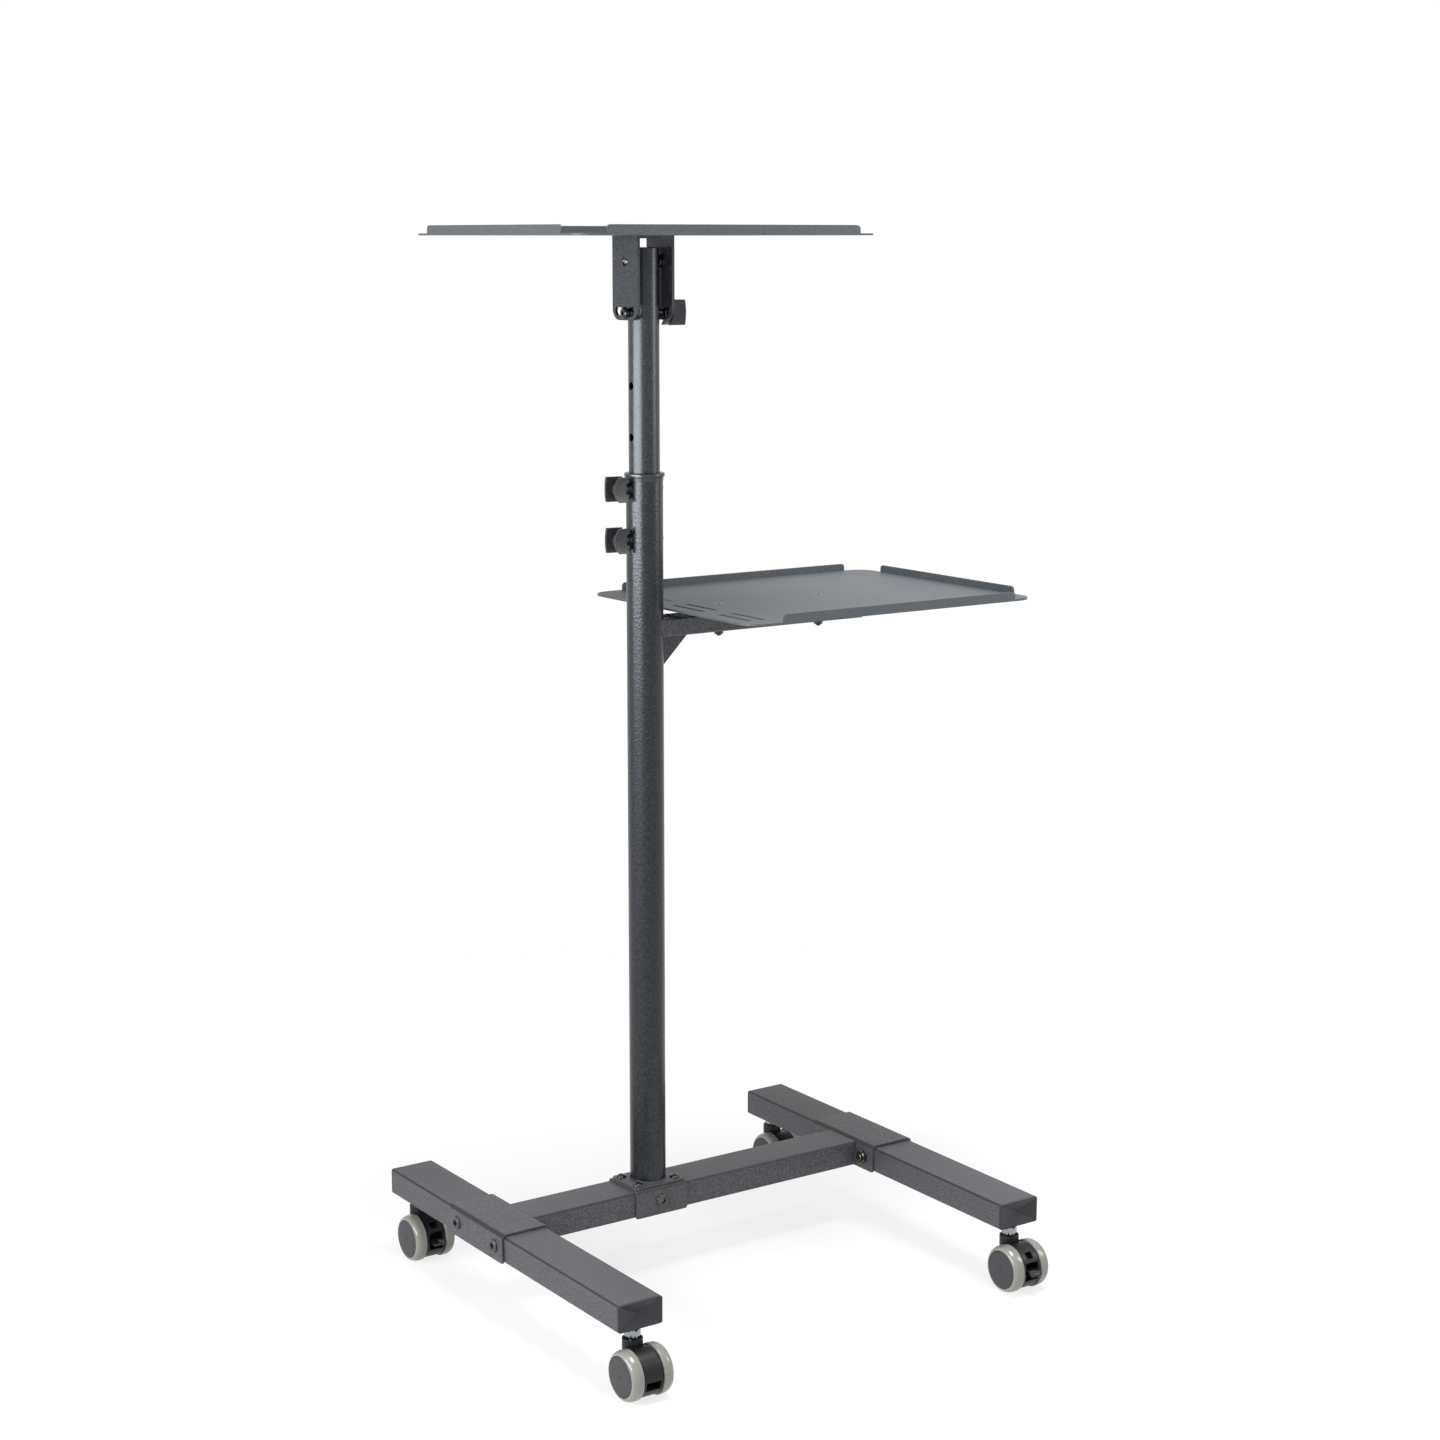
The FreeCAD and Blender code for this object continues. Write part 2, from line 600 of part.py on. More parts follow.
def arm_drills(name):
    """Drills for the screws through the lower tray and its arm."""
    deck = value("lower_height + tray_sheet")
    return [flat_screw("%s_drill_%d" % (name, number), "2 * (spacer_height + arm_depth)",
                       (x, column_y, deck), "hole_play") for number, x in arm_screw_places()]


def lower_shelf():
    """The fixed tray to the right of the column, on spacers; its left edge is plain."""
    middle = column_x + value("lower_gap + low_length / 2")
    long_lip, side_lip = ("open_lip_gap", "lip_gap"), ("side_lip_gap", "side_lip_gap")
    yield tray("lower_shelf", (middle, column_y, value("lower_height")), "low_length", "low_depth",
               {"front": long_lip, "back": long_lip, "right": side_lip}, arm_drills("lower_shelf"))
    bolts = []
    grip = "2 * tray_sheet + spacer_height + arm_depth + nut_height"
    for number, x in arm_screw_places():
        name = "shelf_bolt_%d" % number
        screw = flat_screw(name + "_screw", grip, (x, column_y, value("lower_height + tray_sheet")))
        spacer = rod(name + "_spacer", "washer", "spacer_height", (x, column_y, arm_top))
        nut = rod(name + "_nut", "screw_head", "nut_height",
                  (x, column_y, arm_top - value("arm_depth")), DOWN)
        bolts.append(fuse(name, screw, spacer, nut))
    group("shelf_bolts", *bolts)
    yield "shelf_bolts"


def shelf_arm():
    """The box arm that carries the lower tray, fitted round the column, and its gusset."""
    length = "arm_length + column_outside / 2"
    middle = (column_x + value(length) / 2, column_y, arm_top - value("arm_depth / 2"))
    around = bar("arm_column", "column_outside", "2 * arm_depth", (column_x, column_y, middle[2]))
    tube("arm_tube", length, "arm_width", "arm_depth", "arm_corner", middle, 90, around,
         *arm_drills("arm"))
    owner = place(body("arm_gusset"), (column_x, column_y, arm_top - value("arm_depth")))
    edge, out = "column_outside / 2", "column_outside / 2 + gusset_out"
    profile = outline(sketch(owner, "gusset_side", "XZ_Plane"),
                      ((edge, "0"), (edge, "0 - gusset_down"), (out, "0")))
    pad(owner, "gusset_pad", profile, "gusset_sheet", midplane=True)
    fuse("shelf_arm", doc.getObject("arm_tube"), owner)
    return ["shelf_arm"]


def head_screw_places():
    """The four screws of the top tray on its bracket."""
    for side, way in SIDES:
        for end, along in ENDS:
            yield ("%s_%s" % (side, end), column_x + way * value("head_screw_x / 2"),
                   column_y + along * value("head_screw_y / 2"))


def head_drills(name):
    """Drills for the screws through the top tray and the bracket."""
    deck = shelf_z + value("tray_sheet")
    return [flat_screw("%s_%s_drill" % (name, label), "2 * (tray_sheet + head_sheet)", (x, y, deck),
                       "hole_play") for label, x, y in head_screw_places()]


def tilt_slot():
    """The arc slot about the pivot that the clamp bolt runs in, cut right through both ears."""
    reach = "2 * head_width"
    start = column_x - value(reach) / 2
    arc = bind(doc.addObject("Part::Cylinder", "slot_outer"), Radius="tilt_radius + tilt_opening / 2",
               Height=reach, Angle="2 * tilt_angle")
    down = FreeCAD.Rotation(FreeCAD.Vector(0, 1, 0), 90)
    first = FreeCAD.Rotation(FreeCAD.Vector(0, 0, 1), -value("tilt_angle"))
    arc.Placement = FreeCAD.Placement(FreeCAD.Vector(start, column_y, pivot_z), down * first)
    core = bar("slot_core", "2 * tilt_radius - tilt_opening", "2 * (%s)" % reach,
               (column_x, column_y, pivot_z), X)
    tips = []
    for label, way in ENDS:
        angle = math.radians(way * value("tilt_angle"))
        y, z = value("tilt_radius") * math.sin(angle), value("tilt_radius") * math.cos(angle)
        centre = (column_x, column_y + y, pivot_z - z)
        tips.append(bar("slot_tip_" + label, "tilt_opening", reach, centre, X))
    return fuse("slot_solid", cut("slot_arc", arc, core), *tips)


def tilt_bracket():
    """The upturned U under the top shelf: two ears with a pivot hole and a tilt slot each."""
    owner = place(body("tilt_sheet"), (column_x, column_y, shelf_z))
    half, outer = "head_inside / 2", "head_inside / 2 + head_sheet"
    low, web = "0 - head_drop", "0 - head_sheet"
    outline(sketch(owner, "tilt_section", "XZ_Plane"),
            (("0 - head_inside / 2 - head_sheet", low), ("0 - " + half, low), ("0 - " + half, web),
             (half, web), (half, low), (outer, low), (outer, "0"),
             ("0 - head_inside / 2 - head_sheet", "0")))
    pad(owner, "tilt_fold", owner.Group[-1], "head_width", midplane=True)
    foot = -value("head_drop")
    fillet(owner, "tilt_corners", "head_round",
           lambda edge: runs(edge, X) and near(edge.CenterOfMass.z, foot))
    pivot = bar("ear_pivot", "pivot_hole", "2 * head_width", (column_x, column_y, pivot_z), X)
    cut("tilt_bracket", owner, pivot, tilt_slot(), *head_drills("bracket"))
    return ["tilt_bracket"]


def pivot_pin():
    """The pivot through the ears and the mast, with a washer in each gap."""
    end, side = "head_inside / 2 + head_sheet", "head_inside / 2 - face_gap"
    mast_side = "mast_outside / 2 + pin_play"
    ear, washer, shank = "pivot_hole / 2 - pin_play", "washer / 2", "pin / 2"
    corners = [("0", "0 - (%s)" % end), (ear, "0 - (%s)" % end), (ear, "0 - (%s)" % side),
               (washer, "0 - (%s)" % side), (washer, "0 - (%s)" % mast_side),
               (shank, "0 - (%s)" % mast_side)]
    corners += [(across, "0 - (%s)" % up) for across, up in reversed(corners)]
    turned("pivot_pin", corners, (column_x, column_y, pivot_z), X)
    return ["pivot_pin"]


def clamp_bolt():
    """The bolt through the slots and the mast: head on the left, washer under the knob."""
    head_face = "head_inside / 2 + head_sheet + face_gap"
    knob_face = "head_inside / 2 + head_sheet + knob_start"
    mast_side, side = "mast_outside / 2 + pin_play", "head_inside / 2 - face_gap"
    head, washer, shank = "bolt_head / 2", "washer / 2", "pin / 2"
    head_end = "0 - (%s) - bolt_head_height" % head_face
    corners = (("0", head_end), (head, head_end), (head, "0 - (%s)" % head_face),
               (shank, "0 - (%s)" % head_face), (shank, "0 - (%s)" % side),
               (washer, "0 - (%s)" % side), (washer, "0 - (%s)" % mast_side),
               (shank, "0 - (%s)" % mast_side), (shank, mast_side), (washer, mast_side),
               (washer, side), (shank, side), (shank, head_face), (washer, head_face),
               (washer, "(%s) - face_gap" % knob_face), (shank, "(%s) - face_gap" % knob_face),
               (shank, "(%s) + hub_length" % knob_face), ("0", "(%s) + hub_length" % knob_face))
    turned("clamp_bolt", corners, (column_x, column_y, clamp_z), X)
    start = (column_x + value(knob_face), column_y, clamp_z)
    return ["clamp_bolt", wing_knob("knob_tilt", start, 1, "pin + 2 * pin_play")]


def upper_shelf():
    """The top tray on its bracket, and the screws that hold it."""
    long_lip, side_lip = ("lip_gap", "lip_gap"), ("side_lip_gap", "side_lip_gap")
    yield tray("upper_shelf", (column_x, column_y, shelf_z), "top_length", "top_depth",
               {"front": long_lip, "back": long_lip, "left": side_lip, "right": side_lip},
               head_drills("upper_shelf"))
    group("head_screws", *[flat_screw("head_screw_" + label, "tray_sheet + head_sheet",
                                      (x, y, shelf_z + value("tray_sheet")))
                           for label, x, y in head_screw_places()])
    yield "head_screws"


def caster_places():
    """The four casters: name, stem place, and whether each has a brake."""
    for side, way in SIDES:
        for end, along in ENDS:
            yield "%s_%s" % (end, side), leg_x(way), stem_y(along), (way * along < 0)


def caster_stems():
    """The four stems: a thread in the leg, a nut, a shaft and the pin that the hood turns on."""
    stems = []
    for label, x, y, braked in caster_places():
        thread, nut, shaft, pin = "stem_thread / 2", "stem_nut / 2", "stem_shaft / 2", "stem_pin / 2"
        step, bottom = "0 - stem_nut_height", "face_gap - neck_gap"
        stems.append(turned("stem_" + label,
                            (("0", bottom + " - stem_depth"), (pin, bottom + " - stem_depth"), (pin, bottom),
                             (shaft, bottom), (shaft, step), (nut, step), (nut, "0"), (thread, "0"),
                             (thread, "stem_grip"), ("0", "stem_grip")),
                            (x, y, value("caster_height"))))
    group("caster_stems", *stems)
    return ["caster_stems"]


def hood(label, x, y, braked):
    """A caster hood: a round cheek between the wheels under a neck that turns on the stem."""
    name = "hood_" + label
    axle = (x, y - value("caster_trail"), value("wheel / 2"))
    neck_top = value("caster_height - neck_gap")
    cheek = bar(name + "_cheek", "hood_outside", "hood_width", axle, X)
    neck = rod(name + "_neck", "neck", "caster_height - neck_gap - wheel / 2", (x, y, value("wheel / 2")))
    tools = [bar(name + "_axle_bore", "axle + 2 * pin_play", "2 * hood_width", axle, X),
             rod(name + "_stem_bore", "stem_pin + 2 * pin_play", "stem_depth", (x, y, neck_top), DOWN),
             box(name + "_foot_cut", "2 * hood_width", "2 * wheel", "2 * hood_above_floor",
                 (axle[0], axle[1], 0))]
    if braked:
        pivot = (x, axle[1] - value("lever_pivot"), axle[2])
        tools.append(bar(name + "_lever_bore", "lever_pin + 2 * pin_play", "2 * hood_width", pivot, X))
        tools.append(box(name + "_lever_room", "lever_width + 2 * lever_play", "wheel", "2 * lever_room",
                         (x, pivot[1] + value("lever_barrel / 2 + lever_play - wheel / 2"), pivot[2])))
    cut(name, fuse(name + "_solid", cheek, neck), *tools)
    return name


def wheels(label, x, y):
    """The twin wheels of a caster: two tyres with rounded shoulders, and two dished hubs on one axle."""
    centre = (x, y - value("caster_trail"), value("wheel / 2"))
    inner, outer = "hood_width / 2 + wheel_gap", "hood_width / 2 + wheel_gap + wheel_width"
    tyres = []
    for side, way in SIDES:
        name = "tyre_%s_%s" % (label, side)
        half = (("hub / 2", inner), ("wheel / 2", inner), ("wheel / 2", outer + " - tyre_round"),
                ("wheel / 2 - tyre_bevel", outer + " - tyre_bevel"), ("wheel / 2 - tyre_round", outer),
                ("hub / 2", outer))
        tyres.append(turned(name, half, centre, (way, 0, 0)))
    group("tyres_" + label, *tyres)
    rim, boss, axle = "hub / 2", "hub_boss / 2", "axle / 2"
    half = [(axle, inner), (rim, inner), (rim, outer), (rim + " - hub_rim", outer),
            (rim + " - hub_rim - hub_dish", outer + " - hub_dish"),
            (boss + " + hub_dish", outer + " - hub_dish"), (boss, outer), ("0", outer)]
    mirrored = [(across, "0 - (%s)" % up) for across, up in reversed(half)]
    turned("hubs_" + label, half + mirrored, centre, X)
    return ["tyres_" + label, "hubs_" + label]


def lever(label, x, y):
    """A brake pedal on a pin through the hood's cheeks."""
    name = "brake_" + label
    pivot = (x, y - value("caster_trail + lever_pivot"), value("wheel / 2"))
    barrel = bar(name + "_barrel", "lever_barrel", "lever_width", pivot, X)
    pin = bar(name + "_pin", "lever_pin", "hood_width", pivot, X)
    owner = place(body(name + "_pedal"), pivot)
    tip = "lever_pivot - lever_reach"
    outline(sketch(owner, name + "_side", "YZ_Plane"),
            (("0", "0 - lever_thick / 2"), ("0", "lever_thick / 2"), ("(%s) / 2" % tip, "lever_thick / 2"),
             (tip, "0"), (tip, "0 - lever_tip"), ("(%s) / 2" % tip, "0 - lever_thick / 2")))
    pad(owner, name + "_pad", owner.Group[-1], "lever_width", midplane=True)
    fuse(name, barrel, pin, owner)
    return name


def casters():
    """Hoods, wheels and brake levers of all four casters."""
    for label, x, y, braked in caster_places():
        yield hood(label, x, y, braked)
        yield from wheels(label, x, y)
        if braked:
            yield lever(label, x, y)


nodes = []
for section in (legs, leg_caps, sleeves, sleeve_bolts, cross_beam, saddle, column_foot, foot_screws,
                column_tube, column_collar, mast, column_knobs, shelf_arm, lower_shelf, tilt_bracket,
                pivot_pin, clamp_bolt, upper_shelf, caster_stems, casters):
    nodes += list(section())
doc.recompute()

for item in doc.Objects:
    if "Invalid" in item.State or "Error" in item.State:
        raise RuntimeError("%s did not build" % item.Name)
for node in nodes:
    item = doc.getObject(node)
    item.Label = node
    if item.Shape.isNull() or not item.Shape.isValid() or not item.Shape.Solids:
        raise RuntimeError("%s has no sound shape" % node)
    item.Shape.exportStep("parts/%s.step" % node)
print(len(nodes), "sub-parts")
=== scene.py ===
"""Projector cart: the finish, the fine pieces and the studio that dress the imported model."""
import json
import math

import bmesh
import bpy
import numpy as np
from bpy.props import FloatProperty, FloatVectorProperty, IntProperty, PointerProperty
from mathutils import Matrix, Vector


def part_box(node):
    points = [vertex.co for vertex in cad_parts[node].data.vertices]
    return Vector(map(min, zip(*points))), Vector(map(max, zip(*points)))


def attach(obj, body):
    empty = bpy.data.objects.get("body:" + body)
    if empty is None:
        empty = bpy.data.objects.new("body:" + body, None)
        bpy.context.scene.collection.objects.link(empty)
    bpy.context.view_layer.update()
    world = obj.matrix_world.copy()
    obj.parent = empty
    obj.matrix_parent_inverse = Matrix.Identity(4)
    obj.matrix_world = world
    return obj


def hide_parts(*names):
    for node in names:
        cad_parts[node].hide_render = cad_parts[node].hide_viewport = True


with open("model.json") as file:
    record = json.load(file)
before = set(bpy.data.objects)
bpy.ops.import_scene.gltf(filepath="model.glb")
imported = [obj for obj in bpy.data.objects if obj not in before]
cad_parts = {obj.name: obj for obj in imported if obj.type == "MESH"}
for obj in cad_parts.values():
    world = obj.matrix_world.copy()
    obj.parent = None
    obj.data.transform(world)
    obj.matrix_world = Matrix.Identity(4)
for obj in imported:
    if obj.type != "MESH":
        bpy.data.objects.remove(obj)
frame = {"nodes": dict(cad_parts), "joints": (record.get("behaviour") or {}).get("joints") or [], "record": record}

bl_info = {
    "name": "Projector Cart",
    "version": (1, 0, 0),
    "blender": (4, 5, 0),
    "location": "View3D > Sidebar > Cart",
    "description": "Dresses a steel projector cart with its finishes, fasteners, knobs and casters",
    "category": "Object",
}

MILLIMETRE = 0.001
X_AXIS = np.array((1.0, 0.0, 0.0))
Y_AXIS = np.array((0.0, 1.0, 0.0))
Z_AXIS = np.array((0.0, 0.0, 1.0))
CORNERS = ("front_left", "back_left", "front_right", "back_right")
BRAKED = ("front_right", "back_left")
KNOBS = ("upper", "lower", "tilt")
# The column takes a darker copy of the frame coat; its extra darkness is painted shade
FINER = {"column_tube": "column_coat", "tilt_bracket": "mast_coat"}
# Painted highlight colour: a cool blue tint on the highlights of column and mast, standing in for cool lamp light
COOL_HIGHLIGHT_TINT = (0.88, 0.94, 1.0, 1.0)
MATT = {"Specular IOR Level": 0.3}
METAL = {"Metallic": 1.0}
TUBE_WALL = 2 * MILLIMETRE
BORE_DEPTH = 12 * MILLIMETRE
FOOT_SHEET = 3 * MILLIMETRE
SCREW_INSET = 4.5 * MILLIMETRE
# Name, colour setting, shares of the grain's width and depth, fleck, roughness, unevenness, and
# further values of the shader
FINISHES = (
    ("frame_coat", "frame_coat", 1.0, 1.0, 1.2, 0.5, 0.16, {}),
    ("column_coat", "column_coat", 1.5, 2.2, 2.0, 0.32, 0.12, {"Specular Tint": COOL_HIGHLIGHT_TINT}),
    ("mast_coat", "mast_coat", 1.0, 0.6, 2.0, 0.34, 0.12, {"Specular Tint": COOL_HIGHLIGHT_TINT}),
    ("shelf_coat", "shelf_coat", 1.0, 0.7, 0.6, 0.52, 0.14, {}),
    ("cap_plastic", "cap", 0.35, 0.2, 0.3, 0.38, 0.1, MATT),
    ("knob_plastic", "knob", 0.35, 0.8, 0.8, 0.28, 0.15, {"Specular IOR Level": 0.4}),
    ("hood_plastic", "plastic", 0.35, 0.4, 0.4, 0.40, 0.2, MATT),
    ("tyre_rubber", "tyre", 0.35, 0.1, 0.12, 0.22, 0.12, {}),
    ("pedal_plastic", "plastic", 0.35, 0.1, 0.2, 0.16, 0.2, {}),
    ("collar_plastic", "cap", 0.35, 0.2, 0.3, 0.28, 0.15, {}),
    ("hub_plastic", "hub", 0.35, 0.3, 0.2, 0.45, 0.15, MATT),
    ("bright_steel", "chrome", 0.35, 0.1, 0.1, 0.22, 0.3, METAL),
    ("bolt_ring", "bolt_ring", 0.35, 0.1, 0.3, 0.25, 0.3, {}),
    ("bolt_zinc", "zinc", 0.35, 0.1, 0.3, 0.3, 0.3, METAL),
    ("stem_chrome", "chrome", 0.35, 0.05, 0.05, 0.14, 0.3, METAL),
    ("black_steel", "black_steel", 0.35, 0.1, 0.2, 0.13, 0.3, {}),
)
# Name, which is also that of its power setting, place, target, width and height
LAMPS = (
    ("key", (-1.58, -0.16, 0.83), (-0.1, 0.05, 0.85), 1.5, 0.42),
    ("rim", (1.2, -1.0, 1.15), (-0.1, 0.05, 1.0), 0.35, 0.8),
    ("top", (0.1, -0.4, 2.9), (0.0, 0.0, 0.3), 1.1, 1.1),
)
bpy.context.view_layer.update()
PLACES = {joint["name"]: np.array(joint["pos_m"], float) for joint in frame["joints"]
          if "pos_m" in joint}


def colour(name, note, default):
    """A colour property of the panel."""
    return FloatVectorProperty(name=name, description=note, default=default, subtype="COLOR",
                               size=3, min=0.0, max=1.0)


def length(name, note, millimetres):
    """A length property of the panel, whose default is given in millimetres."""
    return FloatProperty(name=name, description=note, default=millimetres * MILLIMETRE,
                         min=0.0, unit="LENGTH", precision=4)


class CartFinish(bpy.types.PropertyGroup):
    """Colours of the finishes, and the scale of the powder coat's grain."""

    frame_coat: colour("Frame coat", "Powder coat of the base", (0.050, 0.052, 0.059))
    # Partly painted shade: the column's coat is a far darker copy of the frame coat; the extra darkness is painted
    # shade, the coarser grain is its own
    column_coat: colour("Column coat", "Darker, coarser coat of the column", (0.008, 0.009, 0.011))
    mast_coat: colour("Mast coat", "Smooth coat of the mast and the bracket", (0.018, 0.020, 0.024))
    # Painted shade: how strongly a dark reflection is painted into the frame coat along its folds
    fold_shade: FloatProperty(name="Edge tone", default=0.95, min=0.0, max=1.0, subtype="FACTOR",
                             description="How much darker the coat is along its folds")
    shelf_coat: colour("Shelf coat", "Coat of both trays", (0.058, 0.068, 0.077))
    plastic: colour("Plastic", "Moulded black of hoods and pedals", (0.006, 0.006, 0.007))
    knob: colour("Knobs", "Moulded dark grey of the knobs", (0.024, 0.025, 0.028))
    cap: colour("Caps", "Moulded dark grey of the caps and the collar", (0.024, 0.025, 0.029))
    tyre: colour("Tyres", "Warm grey rubber of the wheels", (0.205, 0.210, 0.188))
    hub: colour("Hubs", "Dark grey of the wheel discs", (0.035, 0.035, 0.040))
    zinc: colour("Zinc", "Dull plated steel of the bolts", (0.120, 0.122, 0.100))
    bolt_ring: colour("Bolt rings", "Dark steel rings round the bolts", (0.040, 0.041, 0.042))
    chrome: colour("Chrome", "Plated steel of stems, rings and pivot", (0.300, 0.315, 0.330))
    black_steel: colour("Black steel", "Blackened steel of the screws", (0.006, 0.006, 0.007))
    grain: length("Grain", "Width of one grain of the powder coat", 1.6)
    grain_depth: length("Grain depth", "Height of the powder coat's grain", 0.05)


class CartSizes(bpy.types.PropertyGroup):
    """Sizes of the fine pieces."""

    edge: length("Edge round", "Reach of the rounded rims of the hoods", 1.2)
    bolt_head: length("Bolt head", "Width of the low bolt heads on the sleeves", 14.0)
    bolt_flat: length("Bolt socket", "Width across the flats of the bolts' sockets", 6.0)
    screw_head: length("Screw head", "Width of the domed screws on the column's foot", 10.6)
    tyre_round: length("Tyre round", "Width of the shoulder that falls from tread to disc", 7.5)
    tyre_width: length("Tyre width", "Width of one tyre", 11.8)
    tyre_depth: length("Tyre depth", "Height of a tyre's side over the wheel disc", 4.6)
    hub_gap: length("Hub gap", "Width of the shadow gap round the wheel discs", 0.6)
    wing_wall: length("Wing wall", "Thickness of the wings of the knobs", 4.0)
    wing_bow: length("Wing bow", "How far the corners of a wing fall back from its tip", 6.0)
    wing_waist: length("Wing waist", "Width over both wings of a knob beside the column", 17.0)
    wing_spread: length("Wing spread", "Width over both wings of a knob at their tips", 20.0)
    wing_extra: length("Wing extra", "How much further than the plain knob the wings reach", 3.0)
    cap_depth: length("Cap depth", "Depth of the pyramid in the leg caps", 6.0)
    tube_fold: length("Tube fold", "Reach of the folds of the base's tubes", 2.6)
    tube_rise: length("Tube rise", "How far the tubes' top faces lie over the packed ones", 1.0)
    tube_drop: length("Tube drop", "How far the tubes' lower faces lie under the packed ones", 1.5)
    clasp_sheet: length("Clasp sheet", "Thickness of the sheet of sleeves and saddle", 2.5)
    clasp_drop: length("Clasp drop", "How far the flaps of sleeves and saddle pass the tubes", 0.8)
    clasp_fold: length("Clasp fold", "Reach of the folds of sleeves and saddle", 4.0)
    clasp_corner: length("Clasp corner", "Radius of the lower corners of sleeves and saddle", 1.5)
    stem_flat: length("Stem hexagon", "Width across the flats of the stems' hexagons", 14.0)
    arm_screw: length("Arm screw", "Distance of the arm's own screw from the column's axis", 27.0)
    segments: IntProperty(name="Segments", description="Divisions round a turned piece",
                          default=72, min=24, max=180)


class CartStudio(bpy.types.PropertyGroup):
    """The camera, the floor and the lamps."""

    azimuth: FloatProperty(name="Azimuth", description="Turn of the camera round the cart",
                           default=math.radians(-34.49), subtype="ANGLE")
    elevation: FloatProperty(name="Elevation", description="Height angle of the camera",
                             default=math.radians(10.28), subtype="ANGLE")
    camera_place: FloatVectorProperty(name="Camera", description="Place of the camera", size=3,
                                      default=(-1.5629, -2.22063, 1.08882), subtype="TRANSLATION")
    lens: FloatProperty(name="Lens", description="Focal length on a 36 mm sensor", default=66.4,
                        min=10.0, unit="CAMERA")
    floor_colour: colour("Floor", "Colour of the floor and the backdrop", (0.93, 0.93, 0.93))
    floor_reach: FloatProperty(name="Floor reach", default=1.6, min=0.5, unit="LENGTH",
                               description="Radius at which the floor turns plain")
    sky: FloatProperty(name="Sky", default=0.12, min=0.0,
                       description="Light of the room from all sides")
    key: FloatProperty(name="Key lamp", default=38.0, min=0.0,
                       description="Power of the broad lamp on the left")
    rim: FloatProperty(name="Rim lamp", default=9.0, min=0.0,
                       description="Power of the strip lamp on the right")
    top: FloatProperty(name="Top lamp", default=92.0, min=0.0,
                       description="Power of the lamp overhead")
    shade: FloatProperty(name="Shade", default=0.2, min=0.0, max=1.0, subtype="FACTOR",
                         description="How much of the cart's shadow the floor keeps")


def finish_of():
    """The finish settings of the scene."""
    return bpy.context.scene.cart_finish


def sizes_of():
    """The size settings of the scene."""
    return bpy.context.scene.cart_sizes


def studio_of():
    """The studio settings of the scene."""
    return bpy.context.scene.cart_studio


# Surfaces worked out as arrays of points

def bend(corners, reach, steps=6, closed=False):
    """A polyline whose corners are rounded: each corner B between neighbours A and C becomes the
    quadratic curve (1-s)^2 P + 2s(1-s) B + s^2 Q, with P and Q at the reach from B along both
    sides. An open line keeps its two ends."""
    points = np.asarray(corners, float)
    reach = np.broadcast_to(np.asarray(reach, float), len(points))
    before, after = np.roll(points, 1, axis=0), np.roll(points, -1, axis=0)
    back, ahead = before - points, after - points
    back_size = np.linalg.norm(back, axis=1, keepdims=True)
    ahead_size = np.linalg.norm(ahead, axis=1, keepdims=True)
    limit = np.minimum(reach[:, None], 0.49 * np.minimum(back_size, ahead_size))
    start = points + back / np.maximum(back_size, 1e-12) * limit
    stop = points + ahead / np.maximum(ahead_size, 1e-12) * limit
    share = np.linspace(0.0, 1.0, steps)[None, :, None]
    curve = (1 - share) ** 2 * start[:, None] + 2 * share * (1 - share) * points[:, None]
    curve = curve + share ** 2 * stop[:, None]
    if closed:
        return curve.reshape(-1, 2)
    inner = curve[1:-1].reshape(-1, 2)
    return np.vstack((points[:1], inner, points[-1:]))


def rectangle(wide, tall, reach):
    """A closed rectangle of half widths with its corners rounded."""
    return bend(((-wide, -tall), (wide, -tall), (wide, tall), (-wide, tall)), reach, closed=True)


def basis(toward):
    """Two directions that make a right-handed frame with a third one."""
    toward = np.asarray(toward, float) / np.linalg.norm(toward)
    helper = Z_AXIS if abs(toward[2]) < 0.9 else Y_AXIS
    side = np.cross(helper, toward)
    side = side / np.linalg.norm(side)
    return side, np.cross(toward, side), toward


def mm(*values):
    """Millimetres as an array of metres."""
    return np.asarray(values, float) * MILLIMETRE


def box_of(name):
    """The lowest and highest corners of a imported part."""
    low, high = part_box(name)
    return np.array(low, float), np.array(high, float)


def middle_of(name):
    """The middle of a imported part."""
    low, high = box_of(name)
    return (low + high) / 2


def closed_ends(grid):
    """A carried section with the middles of its first and last outline added, which close it."""
    ends = np.broadcast_to(grid.mean(axis=1, keepdims=True), grid.shape)
    return np.concatenate((ends[:1], grid, ends[-1:]))


def turned(profile, point, toward, flat=None, rows=(), count=None):
    """A turned surface: row i of radius r and height h, column j at angle a, lies at point + r (cos
    a side + sin a up) + h toward. In the rows named, r is the lesser of the profile's radius and
    flat / cos(b), with b the angle from the middle of the nearest of six sides. A profile that
    doesn't start on the axis is closed into a ring."""
    count = count or sizes_of().segments
    angle = np.linspace(0.0, 2 * np.pi, count, endpoint=False)
    radius = np.repeat(profile[:, :1], count, axis=1)
    if flat:
        part = np.pi / 3
        from_middle = (angle + part / 2) % part - part / 2
        chosen = list(rows)
        radius[chosen] = np.minimum(radius[chosen], flat / np.cos(from_middle)[None, :])
    side, up, toward = basis(toward)
    spread = np.cos(angle)[None, :, None] * side + np.sin(angle)[None, :, None] * up
    grid = np.asarray(point) + radius[:, :, None] * spread + profile[:, 1][:, None, None] * toward
    return grid if profile[0, 0] == 0 else np.concatenate((grid, grid[:1]))


